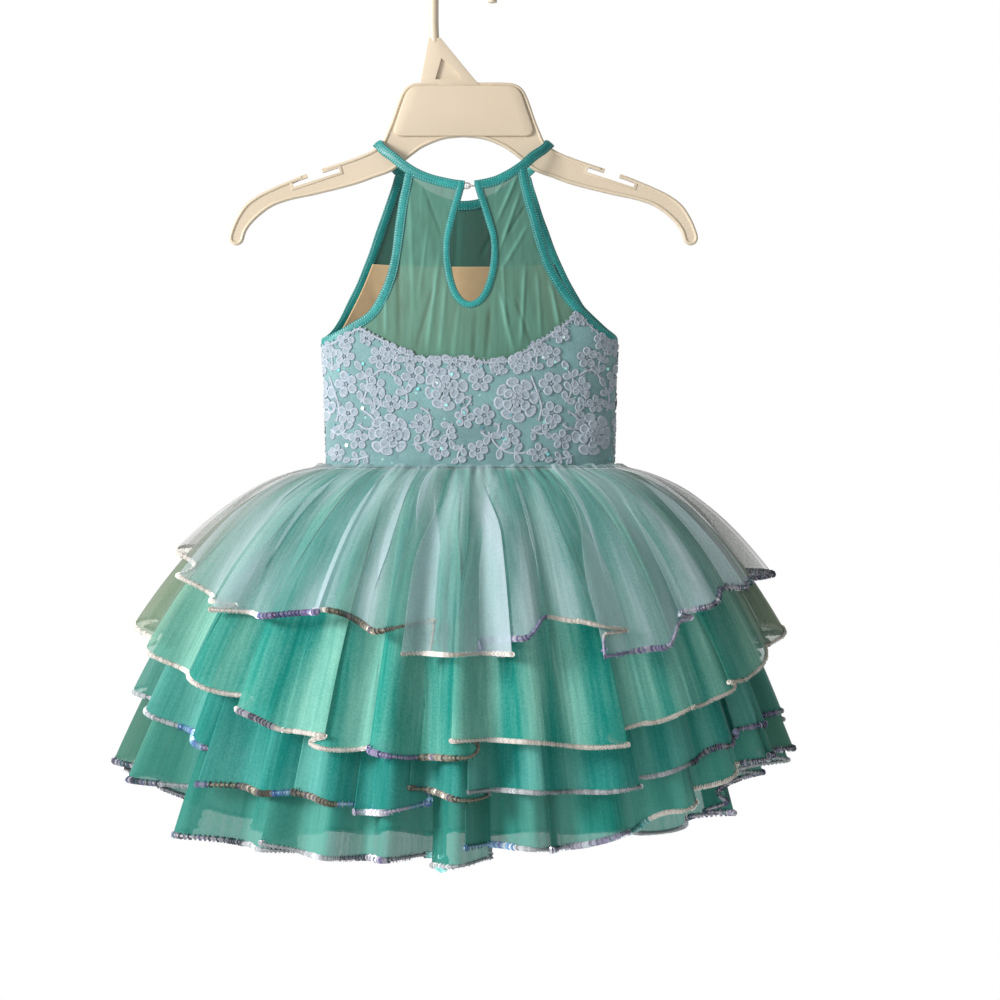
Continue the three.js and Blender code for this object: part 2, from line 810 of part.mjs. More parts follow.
// The angle at which the gathers reach a phase.
function angleOfPhase(phase) {
  let angle = phase / GATHERS;
  for (let i = 0; i < 12; i++) angle = (phase - phaseDrift(angle)) / GATHERS;
  return angle;
}

function hemAt(rows, angle) {
  const first = rows[0].angle;
  const turned = THREE.MathUtils.euclideanModulo(
    THREE.MathUtils.radToDeg(angle) - first,
    360,
  );
  const round = [...rows, { ...rows[0], angle: first + 360 }];
  const next = round.findIndex((row) => row.angle - first > turned);
  const [a, b] = [round[next - 1], round[next]];
  const t = (turned + first - a.angle) / (b.angle - a.angle);
  return {
    out: THREE.MathUtils.lerp(a.out, b.out, t),
    drop: easeBetween(a.drop, b.drop, t),
  };
}

const FOLD = { atWaist: 0.7, atHem: 8, reach: 120, power: 1.2 };

function tierPoint(tier, order, phase, share) {
  const angle = angleOfPhase(phase);
  const { out, drop } = hemAt(tier.hem, angle);
  const { centre, width, depth } = torsoAt(WAIST_Z);
  const inset = order * TIER_STEP - BODICE_CLOTH / 2;
  const stand = out * share;
  const shared =
    (FOLD.atWaist + (FOLD.atHem - FOLD.atWaist) * (stand / FOLD.reach) ** FOLD.power) *
    foldDepth(angle) *
    Math.cos(phase);
  const own = tier.ripple * share ** 2 * Math.cos(phase + ((order + 1) * Math.PI) / 2);
  const slope = tier.slope + 0.26 * Math.cos(angle) ** 2;
  const reach = stand + shared + own - inset;
  return new THREE.Vector3(
    centre + (width + reach) * Math.sin(angle),
    -(depth + reach) * Math.cos(angle),
    WAIST_Z -
      CLOTH / 2 -
      SEAM_GAP -
      order * TIER_STEP -
      drop * (slope * share + (1 - slope) * share ** 2),
  );
}

function tierWall(tier, order) {
  const columns = GATHERS * 4;
  const nudge = 0.01;
  const layer = (side) =>
    TIER_ROWS.map((share) =>
      Array.from({ length: columns }, (_, c) => {
        const phase = (c * Math.PI) / 2;
        const at = (p, s) => tierPoint(tier, order, p, s);
        const across = at(phase + nudge, share).sub(at(phase - nudge, share));
        const down = at(phase, share + nudge).sub(at(phase, Math.max(share - nudge, 0)));
        const normal = across.cross(down).normalize();
        return at(phase, share).addScaledVector(normal, (side * CLOTH) / 2);
      }),
    );
  return wallGeometry(layer(1), layer(-1), true);
}
TIERS.forEach((tier, order) =>
  add(tier.name, tierWall(tier, order), finish(tier.color, 0.7)),
);

// ---- Hanger ----

const mirrored = ({ x, z }) => ({ x: 2 * HANGER_CENTRE - x, z });
const hangerOutline = [...HANGER_HALF, ...HANGER_HALF.map(mirrored).reverse()];

// An outline moved inwards all round by a margin.
function inset(outline, margin) {
  const count = outline.length;
  const points = outline.map(({ x, z }) => new THREE.Vector2(x, z));
  const turn = THREE.ShapeUtils.isClockWise(points) ? -1 : 1;
  return points.map((point, i) => {
    const before = points[(i + count - 1) % count];
    const after = points[(i + 1) % count];
    const a = point.clone().sub(before).normalize();
    const b = after.clone().sub(point).normalize();
    const inward = new THREE.Vector2(-a.y - b.y, a.x + b.x).normalize().multiplyScalar(turn);
    const lean = Math.max(inward.dot(new THREE.Vector2(-a.y, a.x)) * turn, 0.6);
    inward.multiplyScalar(margin / lean).add(point);
    return { x: inward.x, z: inward.y };
  });
}

function slab(outline, thickness) {
  return solidOf(plate(outline, -thickness / 2, thickness / 2));
}

// Hollows on both faces of a slab, which leave a web in its middle.
function hollowed(solid, outline) {
  const web = HANGER.web / 2;
  const outside = HANGER.thickness;
  return solid
    .subtract(solidOf(plate(outline, web, outside)))
    .subtract(solidOf(plate(outline, -outside, -web)));
}

// A box in the notch's own axes: along the arm and down from its upper edge.
function notchBox(side, from, to, top, bottom) {
  const slope = radians(NOTCH.slope);
  const at = (along, down) => {
    const x = NOTCH.x + along * Math.cos(slope) + down * Math.sin(slope);
    const z = NOTCH.z + along * Math.sin(slope) - down * Math.cos(slope);
    return side > 0 ? mirrored({ x, z }) : { x, z };
  };
  return [at(from, top), at(to, top), at(to, bottom), at(from, bottom)];
}

function hangerBody() {
  let body = hollowed(slab(hangerOutline, HANGER.thickness), inset(hangerOutline, HANGER.rim));
  body = body.add(hollowed(slab(GUSSET, HANGER.thickness - 0.6), GUSSET_POCKET));
  const plateOutline = [...PLATE, ...PLATE.map(mirrored).reverse()];
  body = body.add(slab(plateOutline, HANGER.plateThickness));
  const slotBottom = NOTCH.lip + NOTCH.slotDepth;
  for (const side of [-1, 1]) {
    const halfSlot = NOTCH.slot / 2;
    const shelfBottom = slotBottom + NOTCH.shelf;
    const shelf = notchBox(side, -halfSlot - 2, halfSlot + 2, NOTCH.lip + 1, shelfBottom);
    const mouth = notchBox(side, -NOTCH.mouth / 2, NOTCH.mouth / 2, -4, NOTCH.lip + 1);
    const slot = notchBox(side, -halfSlot, halfSlot, NOTCH.lip, slotBottom);
    body = body
      .add(slab(shelf, HANGER.thickness - 0.6))
      .subtract(slab(mouth, 3 * HANGER.thickness))
      .subtract(slab(slot, 3 * HANGER.thickness));
  }
  return geometryOf(body);
}
add("hanger_body", hangerBody(), PLASTIC);

// The hook rises from the gusset, turns over the rod and ends in a short tip.
const hookCentreZ = -(HOOK.bend - HOOK.strand / 2);
const hookPath = new THREE.CatmullRomCurve3(
  [
    new THREE.Vector3(-21.6, 0, HOOK.shaftEnd),
    new THREE.Vector3(-HOOK.bend, 0, -52),
    new THREE.Vector3(-HOOK.bend, 0, -34),
    ...Array.from({ length: 9 }, (_, i) => {
      const turn = Math.PI - (i * Math.PI) / 8;
      return new THREE.Vector3(
        HOOK.bend * Math.cos(turn),
        0,
        hookCentreZ + HOOK.bend * Math.sin(turn),
      );
    }),
    new THREE.Vector3(HOOK.bend, 0, HOOK.tipEnd),
  ],
  false,
  "centripetal",
);
add(
  "hanger_hook",
  new THREE.ExtrudeGeometry(new THREE.Shape().absarc(0, 0, HOOK.strand / 2, 0, 2 * Math.PI), {
    steps: 30,
    curveSegments: 5,
    extrudePath: hookPath,
    bevelEnabled: false,
  }),
  PLASTIC,
);

export default costume;
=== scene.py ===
"""A child's tutu dance costume on a plastic hanger, with its keyhole back to the camera."""

import math
import random

import bmesh
import bpy
from mathutils import Matrix, Vector


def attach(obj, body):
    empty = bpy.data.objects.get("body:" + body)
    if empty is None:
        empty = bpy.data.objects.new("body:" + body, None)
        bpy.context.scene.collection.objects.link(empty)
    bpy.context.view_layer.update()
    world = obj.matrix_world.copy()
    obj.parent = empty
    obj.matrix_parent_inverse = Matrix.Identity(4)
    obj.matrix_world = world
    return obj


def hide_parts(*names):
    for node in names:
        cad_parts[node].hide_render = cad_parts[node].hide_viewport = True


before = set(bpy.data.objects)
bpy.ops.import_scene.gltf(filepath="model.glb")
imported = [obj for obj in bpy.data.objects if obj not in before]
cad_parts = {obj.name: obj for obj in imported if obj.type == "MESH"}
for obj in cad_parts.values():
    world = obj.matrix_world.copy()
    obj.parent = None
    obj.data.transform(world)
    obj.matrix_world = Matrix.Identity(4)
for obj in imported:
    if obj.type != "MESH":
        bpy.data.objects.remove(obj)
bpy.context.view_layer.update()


# ---- Camera ----
# A level view of the back of the costume, from a few steps away. The picture is square, and
# it takes in a little more than the skirt's width at the depth of the hanger.

MM = 0.001
SHOWN_WIDTH = 760 * MM
CAMERA_DISTANCE = 2.4
PICTURE_CENTRE = Vector((28.1, 0, -413.4)) * MM

camera_data = bpy.data.cameras.new("camera")
camera_data.lens = camera_data.sensor_width * CAMERA_DISTANCE / SHOWN_WIDTH
camera = bpy.data.objects.new("camera", camera_data)
bpy.context.collection.objects.link(camera)
camera.location = PICTURE_CENTRE - Vector((0, CAMERA_DISTANCE, 0))
camera.rotation_euler = (math.pi / 2, 0, 0)
bpy.context.scene.camera = camera


# ---- Hanger ----
# One moulding of beige plastic with a satin surface: a raised rim round a thin web, a bare plate
# and a gusset in the middle, a slotted notch in each arm, and a round hook.


class Tone:
    """A shader socket that adds a node when it is used in a sum, or to make any other node."""

    def __init__(self, tree, socket=None):
        self.tree = tree
        self.socket = socket

    def make(self, kind, inputs, out=0, **settings):
        """A node of a kind, with its settings made first and then its inputs."""
        node = self.tree.nodes.new(kind)
        for name, value in settings.items():
            setattr(node, name, value)
        for name, value in inputs.items():
            self.give(node.inputs[name], value)
        return Tone(self.tree, node.outputs[out])

    def give(self, socket, value):
        if isinstance(value, Tone):
            self.tree.links.new(value.socket, socket)
        elif socket.type == "RGBA":
            socket.default_value = (*value, 1)
        else:
            socket.default_value = value

    def math(self, operation, *values, clamp=False):
        inputs = dict(enumerate(values))
        return self.make("ShaderNodeMath", inputs, operation=operation, use_clamp=clamp)

    def __add__(self, other):
        return self.math("ADD", self, other)

    __radd__ = __add__

    def __mul__(self, other):
        return self.math("MULTIPLY", self, other)

    __rmul__ = __mul__

    def __sub__(self, other):
        return self.math("SUBTRACT", self, other)

    def __rsub__(self, other):
        return self.math("SUBTRACT", other, self)

    def clamped(self):
        return self.math("ADD", self, 0, clamp=True)

    def over(self, low, high):
        """0 below low, 1 above high."""
        return ((self - low) * (1 / (high - low))).clamped()

    def under(self, low, high):
        return 1 - self.over(low, high)

    def colour(self, a, b):
        """From colour a, where this is 0, to colour b, where it is 1."""
        mixed = self.make("ShaderNodeMix", {}, data_type="RGBA", out=2)
        node = mixed.socket.node
        for socket, value in ((node.inputs[0], self), (node.inputs[6], a), (node.inputs[7], b)):
            self.give(socket, value)
        return mixed

    def noise(self, where, scale, detail=2, roughness=0.5):
        inputs = {"Vector": where, "Scale": scale, "Detail": detail, "Roughness": roughness}
        return self.make("ShaderNodeTexNoise", inputs)

    def bump(self, height, distance, strength=1):
        """A bump of a height from 0 to 1 over a distance in metres."""
        inputs = {"Height": height, "Distance": distance, "Strength": strength}
        return self.make("ShaderNodeBump", inputs)

    def output(self, at):
        """Another output of the same node."""
        return Tone(self.tree, self.socket.node.outputs[at])

    def axes(self):
        """The three parts of a vector."""
        parts = self.make("ShaderNodeSeparateXYZ", {"Vector": self})
        return [parts.output(at) for at in range(3)]

    def place(self):
        return self.make("ShaderNodeTexCoord", {}, out=3)

    def laid(self, name):
        """The place on the flat cloth, in millimetres."""
        return self.make("ShaderNodeUVMap", {}, uv_map=name)

    def scaled(self, where, scale):
        return self.make("ShaderNodeMapping", {"Vector": where, "Scale": scale})

    def kept(self, name, out=2):
        """A value that is kept on the mesh: output 2 is a number, 0 a colour, 1 a vector."""
        return self.make("ShaderNodeAttribute", {}, attribute_name=name, out=out)


def new_material(name, **sockets):
    """A material, and a tone to start its sums from, with constant values on its shader."""
    material = bpy.data.materials.new(name)
    material.use_nodes = True
    tone = Tone(material.node_tree)
    feed(material, **sockets)
    return material, tone


def feed(material, **sockets):
    """Sets or links the shader's sockets; an underscore stands for the space in a name."""
    shader = material.node_tree.nodes["Principled BSDF"]
    for name, value in sockets.items():
        Tone(material.node_tree).give(shader.inputs[name.replace("_", " ")], value)


def mesh_of(bm, name="part"):
    mesh = bpy.data.meshes.new(name)
    bm.to_mesh(mesh)
    bm.free()
    return mesh


def shown(name, data):
    """A mesh, lamp or camera as an object of the scene."""
    item = bpy.data.objects.new(name, data)
    bpy.context.collection.objects.link(item)
    return item


def joined(parts):
    """One mesh from many small ones, which are quicker to make one by one."""
    bm = bmesh.new()
    for mesh in parts:
        bm.from_mesh(mesh)
        bpy.data.meshes.remove(mesh)
    return bm


def keep(bm, name, slot, material, stands_for=(), finish=()):
    """Writes a mesh made in millimetres as a piece of the costume, with its last modifiers."""
    mesh = mesh_of(bm, name)
    mesh.transform(Matrix.Scale(MM, 4))
    mesh.materials.append(material)
    mesh.shade_smooth()
    piece = shown(name, mesh)
    for kind, settings in finish:
        modifier = piece.modifiers.new(kind.title(), kind)
        for key, value in settings.items():
            setattr(modifier, key, value)
    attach(piece, "root")
    if stands_for:
        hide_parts(*stands_for)
    return piece


plastic, tone = new_material(
    "satin beige plastic",
    Specular_IOR_Level=0.45,
    Coat_Weight=0.12,
    Coat_Roughness=0.25,
    Subsurface_Weight=0.08,
    Subsurface_Radius=(0.004, 0.003, 0.002),
    Subsurface_Scale=0.5,
)
place = tone.place()
cloudy = tone.noise(place, 9, 3)
grain = tone.noise(place, 1400, 2, 0.6)
flow = tone.noise(tone.scaled(place, (1, 1, 6)), 30, 2)
feed(
    plastic,
    Base_Color=cloudy.over(0.3, 0.7).colour((0.57, 0.475, 0.35), (0.63, 0.53, 0.40)),
    Roughness=flow * 0.12 + 0.36,
    Normal=tone.bump(grain * 0.6 + flow * 0.4, 0.00003, 0.25),
)

HANGER_CENTRE = 0.4
HANGER_HALF = [
    # the left half of the outline, from the top of the middle round the arm to the underside
    (-20, -96.3), (-32, -96.5), (-39.5, -97.8), (-45, -102), (-49, -110), (-54, -124.5),
    (-57.6, -133.5), (-62, -142.5), (-70.5, -148.6), (-82, -153.5), (-95, -158),
    (-107, -161.9), (-119.5, -166), (-134, -171.8), (-145, -176.5), (-156, -182),
    (-165, -188.8), (-171, -197), (-175.3, -206), (-177.6, -214), (-176, -218.4),
    (-171.5, -219.8), (-167.3, -217), (-164.6, -209), (-158, -200.5), (-146, -191),
    (-131.5, -185.5), (-111.5, -181.2), (-83, -174), (-68, -168.7), (-54, -163.5),
    (-45.5, -156.8), (-37.5, -150.4), (-29.5, -145), (-15, -139.3), (0.4, -137.6),
]
PLATE = [(-41.5, -98.7), (-54.6, -137.4)]
GUSSET = [(-33, -100), (-26, -62.3), (-17.2, -62.3), (8, -93), (14, -100)]
GUSSET_POCKET = [(-16.5, -78), (-21, -94), (-2, -94), (-3.5, -89.5)]
HANGER_THICK, PLATE_THICK, PLATE_CORNER, PLATE_EDGE = 7, 10, 9, 1.4
WEB_THICK, POCKET_THICK, INNER_THICK, RIM = 5.2, 2.4, 6.4, 1.35
SHELF_EDGE, GUSSET_EDGE = 0.3, 0.7
NOTCH_AT, NOTCH_SLOPE = (-113, -164), math.radians(18)
SLOT_HALF, SLOT_TOP, SLOT_BOTTOM, MOUTH_HALF, MOUTH_TOP = 18.5, 2.8, 6.4, 6, -5
SHELF_PAST, SHELF_TOP, SHELF_BOTTOM = 2, 1.2, 8.4
RIM_SIDES, SHARP_RIM, SHARP_HOOK = 12, math.radians(40), math.radians(50)
HOOK_STRAND, HOOK_BEND, HOOK_SIDES, HOOK_END = 7.4, 22.2, 20, 1.2
HOOK_FOOT, HOOK_TIP_Z = [(-21.6, 0, -66), (-HOOK_BEND, 0, -52), (-HOOK_BEND, 0, -34)], -35.7


def smooth(points, steps=12):
    """A Catmull-Rom line through points of any dimension."""
    points = [Vector(p) for p in points]
    line = []
    for i in range(len(points) - 1):
        a, b, c, d = (points[min(max(i + k, 0), len(points) - 1)] for k in (-1, 0, 1, 2))
        for step in range(steps):
            t = step / steps
            line.append(
                0.5 * (2 * b + (c - a) * t + (2 * a - 5 * b + 4 * c - d) * t**2
                       + (3 * b - a - 3 * c + d) * t**3)
            )
    return line + [points[-1]]


def mirrored(points):
    return [(2 * HANGER_CENTRE - x, z) for x, z in reversed(points)]


def rounded(corners, radius, steps=8):
    """A closed outline whose corners are rounded off."""
    line = []
    for i, corner in enumerate(corners):
        corner = Vector(corner)
        before, after = Vector(corners[i - 1]), Vector(corners[(i + 1) % len(corners)])
        start = corner + (before - corner).normalized() * radius
        end = corner + (after - corner).normalized() * radius
        for k in range(steps + 1):
            t = k / steps
            line.append(tuple((1 - t) ** 2 * start + 2 * t * (1 - t) * corner + t**2 * end))
    return line


def rod(bm, line, radius, sides, upright):
    """A round strand along a line; upright is a direction that the line never takes."""
    rings = []
    turns = [2 * math.pi * k / sides for k in range(sides)]
    for i, spot in enumerate(line):
        along = (line[min(i + 1, len(line) - 1)] - line[max(i - 1, 0)]).normalized()
        side = upright.cross(along).normalized()
        up = along.cross(side)
        rings.append([
            bm.verts.new(spot + radius * (side * math.cos(turn) + up * math.sin(turn)))
            for turn in turns
        ])
    faces = []
    for a, b in zip(rings, rings[1:]):
        faces += [bm.faces.new((a[k - 1], a[k], b[k], b[k - 1])) for k in range(sides)]
    faces += [bm.faces.new(rings[0]), bm.faces.new(rings[-1])]
    bmesh.ops.recalc_face_normals(bm, faces=faces)
    return rings


def slab(points, thickness, rounding):
    """A plate in the XZ plane with rounded edges."""
    bm = bmesh.new()
    face = bm.faces.new([bm.verts.new((x, -thickness / 2, z)) for x, z in points])
    made = bmesh.ops.extrude_face_region(bm, geom=[face])["geom"]
    bmesh.ops.translate(
        bm, vec=(0, thickness, 0), verts=[v for v in made if isinstance(v, bmesh.types.BMVert)]
    )
    bmesh.ops.recalc_face_normals(bm, faces=bm.faces)
    if rounding:
        edges = [e for e in bm.edges if abs(e.verts[0].co.y - e.verts[1].co.y) < 1e-6]
        bmesh.ops.bevel(
            bm, geom=edges, offset=rounding, offset_type="OFFSET", segments=2, profile=0.5,
            affect="EDGES", material=-1, clamp_overlap=True,
        )
    return bm


def notch_box(side, start, end, top, bottom):
    """Corners in the notch's own axes: along the arm, and down from its upper edge."""
    cos, sin = math.cos(NOTCH_SLOPE), math.sin(NOTCH_SLOPE)
    corners = [
        (NOTCH_AT[0] + x * cos + d * sin, NOTCH_AT[1] + x * sin - d * cos)
        for x, d in ((start, top), (end, top), (end, bottom), (start, bottom))
    ]
    return mirrored(corners) if side > 0 else corners


def cut(bm, tool_bm, operation):
    """Joins a solid to another, or takes it away."""
    objects = [shown("moulding", mesh_of(source)) for source in (bm, tool_bm)]
    modifier = objects[0].modifiers.new("cut", "BOOLEAN")
    modifier.operation, modifier.object, modifier.solver = operation, objects[1], "EXACT"
    seen = objects[0].evaluated_get(bpy.context.evaluated_depsgraph_get())
    result = bmesh.new()
    result.from_mesh(seen.to_mesh())
    for item in objects:
        bpy.data.objects.remove(item)
    return result


def in_mouth(x, z):
    """Whether a place on the upper edge is in the open mouth of a notch."""
    x = HANGER_CENTRE - abs(x - HANGER_CENTRE) - NOTCH_AT[0]
    z -= NOTCH_AT[1]
    cos, sin = math.cos(NOTCH_SLOPE), math.sin(NOTCH_SLOPE)
    return abs(x * cos + z * sin) < MOUTH_HALF + RIM and abs(x * sin - z * cos) < -MOUTH_TOP


outline = [tuple(p) for p in smooth(HANGER_HALF, 4)]
outline += mirrored(outline[:-1])
body = slab(outline, WEB_THICK, 0)
for side in (-1, 1):
    ends = SLOT_HALF + SHELF_PAST
    shelf = slab(notch_box(side, -ends, ends, SHELF_TOP, SHELF_BOTTOM), INNER_THICK, SHELF_EDGE)
    body = cut(body, shelf, "UNION")
    for box in (
        notch_box(side, -MOUTH_HALF, MOUTH_HALF, MOUTH_TOP, SLOT_TOP + 1),
        notch_box(side, -SLOT_HALF, SLOT_HALF, SLOT_TOP, SLOT_BOTTOM),
    ):
        body = cut(body, slab(box, 3 * HANGER_THICK, 0), "DIFFERENCE")
pocket = slab(GUSSET_POCKET, 3 * HANGER_THICK, 0)
body = joined([mesh_of(bm) for bm in (
    body,
    slab(rounded(PLATE + mirrored(PLATE), PLATE_CORNER), PLATE_THICK, PLATE_EDGE),
    cut(slab(GUSSET, INNER_THICK, GUSSET_EDGE), pocket, "DIFFERENCE"),
    slab(GUSSET_POCKET, POCKET_THICK, 0),
)])
bmesh.ops.triangulate(body, faces=[f for f in body.faces if len(f.verts) > 4])
for face_side in (-1, 1):
    stretch = []
    for i, (x, z) in enumerate(outline + outline[:1]):
        x1, z1 = outline[(i + 1) % len(outline)]
        x0, z0 = outline[i - 1] if i < len(outline) else outline[-1]
        inward = Vector((z0 - z1, x1 - x0)).normalized() * RIM
        last = i == len(outline)
        if in_mouth(x, z) or last:
            if len(stretch) > 3:
                rod(body, stretch, RIM, RIM_SIDES, Vector((0, 1, 0)))
            stretch = []
        else:
            stretch.append(Vector((
                x + inward.x, face_side * (HANGER_THICK / 2 - RIM), z + inward.y
            )))
hanger = keep(body, "hanger_moulding", "hanger_plastic", plastic, ["hanger_body"])
hanger.data.set_sharp_from_angle(angle=SHARP_RIM)

# The hook is a round rod that rises from the gusset, turns over the rail and ends in a tip.
hook_centre_z = -(HOOK_BEND - HOOK_STRAND / 2)
bend = [
    (HOOK_BEND * -math.cos(turn), 0, hook_centre_z + HOOK_BEND * math.sin(turn))
    for turn in (k * math.pi / 8 for k in range(9))
]
hook_line = smooth(HOOK_FOOT + bend + [(HOOK_BEND, 0, HOOK_TIP_Z)], 6)
bm = bmesh.new()
rod(bm, hook_line, HOOK_STRAND / 2, HOOK_SIDES, Vector((0, 1, 0)))
bmesh.ops.bevel(
    bm, geom=[e for e in bm.edges if len(e.link_faces) == 2 and e.calc_face_angle(0) > 1.2],
    offset=HOOK_END, offset_type="OFFSET", segments=3, profile=0.5, affect="EDGES", material=-1,
)
hook = keep(bm, "hanger_hook_rod", "hanger_plastic", plastic, ["hanger_hook"])
hook.data.set_sharp_from_angle(angle=SHARP_HOOK)


# ---- Sheer yokes and front lining ----
# Two pieces of green power mesh, front and back, stretched between the neckline, the armholes
# and the bodice, and a nude tricot lining behind the front one. All that is worn lies on the
# form of the hanging costume, which is an ellipse at each height. A place on it is an angle,
# from 0 at the centre of the back through 90 at +X to 180 at the front, and a height in mm.

FORM = [
    # height, centre, half width, half depth
    (-142, 0.4, 65.8, 17.5),
    (-150, 0.4, 68.4, 18),
    (-176, 0.5, 75, 19),
    (-233, 2, 95, 24),
    (-261, 3.5, 104, 26),
    (-290, 5, 112, 28),
    (-330, 5.5, 109.5, 29.5),
    (-388, 5.5, 108.5, 31),
]


def mix(a, b, t):
    return a + (b - a) * t


def ease(t):
    t = min(max(t, 0), 1)
    return t * t * (3 - 2 * t)


def form_at(z):
    """Centre, half width and half depth of the form at a height."""
    row = 1
    while row < len(FORM) - 1 and FORM[row][0] > z:
        row += 1
    a, b = FORM[row - 1], FORM[row]
    t = (a[0] - z) / (a[0] - b[0])
    return [mix(a[i], b[i], min(max(t, 0), 1)) for i in (1, 2, 3)]


def form_normal(angle, z):
    _, width, depth = form_at(z)
    return Vector((math.sin(angle) / width, -math.cos(angle) / depth, 0)).normalized()


def form_point(angle, z, off=0):
    """The point at a place, moved off the form along its normal."""
    centre, width, depth = form_at(z)
    point = Vector((centre + width * math.sin(angle), -depth * math.cos(angle), z))
    return point + form_normal(angle, z) * off


def angle_of(x, z, front=False):
    """The angle of a point x, z that is seen from the back, or on the front behind it."""
    centre, width, _ = form_at(z)
    turn = math.asin(min(max((x - centre) / width, -1), 1))
    return math.pi - turn if front else turn


CREASE_PAST, CREASE_FADE, CREASE_REACH = 0.1, 0.35, 3


def creased(creases, x, z):
    """The sum of soft creases, each from one point to another with a half width and height."""
    total = 0
    for ax, az, bx, bz, width, height in creases:
        along = Vector((bx - ax, bz - az))
        gone = Vector((x - ax, z - az))
        t = gone.dot(along) / along.length_squared
        start, end = t + CREASE_PAST, 1 + CREASE_PAST - t
        side = (gone - along * t).length / width
        if start > 0 and end > 0 and side < CREASE_REACH:
            ends = ease(start / CREASE_FADE) * ease(end / CREASE_FADE)
            total += height * ends * math.exp(-side * side)
    return total


def cloth_grid(columns, rows):
    """A flat grid with u across and v down, both from 0 to 1, kept as its UV map."""
    bm = bmesh.new()
    bm.loops.layers.uv.new("cloth")
    bmesh.ops.create_grid(bm, x_segments=columns, y_segments=rows, size=0.5, calc_uvs=True)
    for vert in bm.verts:
        vert.co = Vector((vert.co.x + 0.5, 0.5 - vert.co.y, 0))
    return bm


def map_cloth(bm, to_uv):
    """Lays the UV map in millimetres of cloth, from the point and its grid place."""
    layer = bm.loops.layers.uv["cloth"]
    for face in bm.faces:
        for loop in face.loops:
            loop[layer].uv = to_uv(loop.vert)


def knit(tone, uv, gauge, depth):
    """Fine vertical ribs of stitches, as a height from 0 to 1; gauge is stitches to the mm."""
    across, down, _ = uv.axes()
    ribs = tone.math("SINE", across * (gauge * 2 * math.pi))
    loops = tone.math("SINE", down * (gauge * 2.6 * math.pi) + ribs * 1.2)
    return (ribs * 0.5 + loops * depth) * 0.5 + 0.5


# The edges of the pieces are lines of places, given as points x, z on the back or the front.

NECK_BACK = [
    (-62.4, -145.8), (-54, -153), (-45, -160.5), (-36.5, -166), (-23, -171.5), (-8.5, -175),
    (5, -176.3), (22, -173.5), (30.5, -170), (45.5, -160.5), (54.5, -152.5), (63.2, -145.8),
]
NECK_FRONT = [
    (-62.4, -145.8), (-48, -164), (-25, -181.5), (0, -188), (25, -181.5), (48, -164),
    (63.2, -145.8),
]
LEFT_ARM_BACK = [
    (-38, -155), (-44, -185), (-46.8, -203), (-51, -233.5), (-57.8, -256), (-68.5, -273.5),
    (-84.5, -284), (-99, -291.5),
]
LEFT_ARM_FRONT = [(-99, -288), (-85, -264), (-72, -234), (-61, -203), (-54, -183), (-44, -150)]
RIGHT_ARM_BACK = [
    (43, -152), (48, -180), (53.6, -200), (64, -235), (79.8, -261), (97.5, -280.5),
    (110, -289.5),
]
RIGHT_ARM_FRONT = [
    (110, -287), (95, -273), (85.5, -261), (70.8, -232), (59.5, -203), (52, -180), (44, -150),
]
BACK_SEAM = [
    (-84, -274), (-73.5, -285), (-62.5, -291), (-39.5, -304), (-27.5, -307.5), (-8.5, -306.5),
    (23, -309), (38, -306), (61.5, -291), (81.5, -276), (92, -262),
]
FRONT_SEAM = [
    (-100, -262), (-78, -279), (-50, -292), (-22, -303), (3, -311), (30, -303), (58, -292),
    (86, -279), (108, -262),
]
KEYHOLE = [
    (-2.5, -180.6), (-7.5, -198), (-11.8, -218), (-10.5, -242), (-4.5, -260), (5.5, -266.5),
    (16, -260), (23, -240), (23.8, -218), (18.5, -198), (13, -180.6),
]
PLACE_SCALE = 60
ARM_BOTTOM = -294
EDGE_STEPS = 60


def places(points, front=False):
    """Points x, z as places: an angle times PLACE_SCALE, and a height."""
    return [Vector((angle_of(x, z, front) * PLACE_SCALE, z)) for x, z in points]


def turned(line, whole_turns):
    return [Vector((p[0] + whole_turns * 2 * math.pi * PLACE_SCALE, p[1])) for p in line]


def beside(line, off):
    """The line moved off to its left, on the cloth."""
    moved = []
    for i, point in enumerate(line):
        width = form_at(point[1])[1] / PLACE_SCALE
        ahead = line[min(i + 1, len(line) - 1)] - line[max(i - 1, 0)]
        real = Vector((ahead[0] * width, ahead[1])).normalized()
        moved.append(point + Vector((-real[1] / width, real[0])) * off)
    return moved


def crossing(one, other):
    """Where two lines cross: how far along each, in points."""
    for i in range(len(one) - 1):
        for j in range(len(other) - 1):
            a, b, c, d = one[i], one[i + 1], other[j], other[j + 1]
            r, s = b - a, d - c
            base = r[0] * s[1] - r[1] * s[0]
            if abs(base) < 1e-9:
                continue
            t = ((c[0] - a[0]) * s[1] - (c[1] - a[1]) * s[0]) / base
            q = ((c[0] - a[0]) * r[1] - (c[1] - a[1]) * r[0]) / base
            if 0 <= t <= 1 and 0 <= q <= 1:
                return i + t, j + q
    raise ValueError("the lines do not cross")


def between(line, first, last, t):
    """The point at share t of a stretch of a line, by its length."""
    picked = [line_point(line, mix(first, last, k / EDGE_STEPS)) for k in range(EDGE_STEPS + 1)]
    lengths = [0]
    for a, b in zip(picked, picked[1:]):
        lengths.append(lengths[-1] + (b - a).length)
    goal = t * lengths[-1]
    for k in range(EDGE_STEPS):
        if lengths[k + 1] >= goal:
            step = lengths[k + 1] - lengths[k]
            return picked[k].lerp(picked[k + 1], (goal - lengths[k]) / step if step else 0)
    return picked[-1]


def line_point(line, at):
    i = min(int(at), len(line) - 2)
    return line[i].lerp(line[i + 1], at - i)


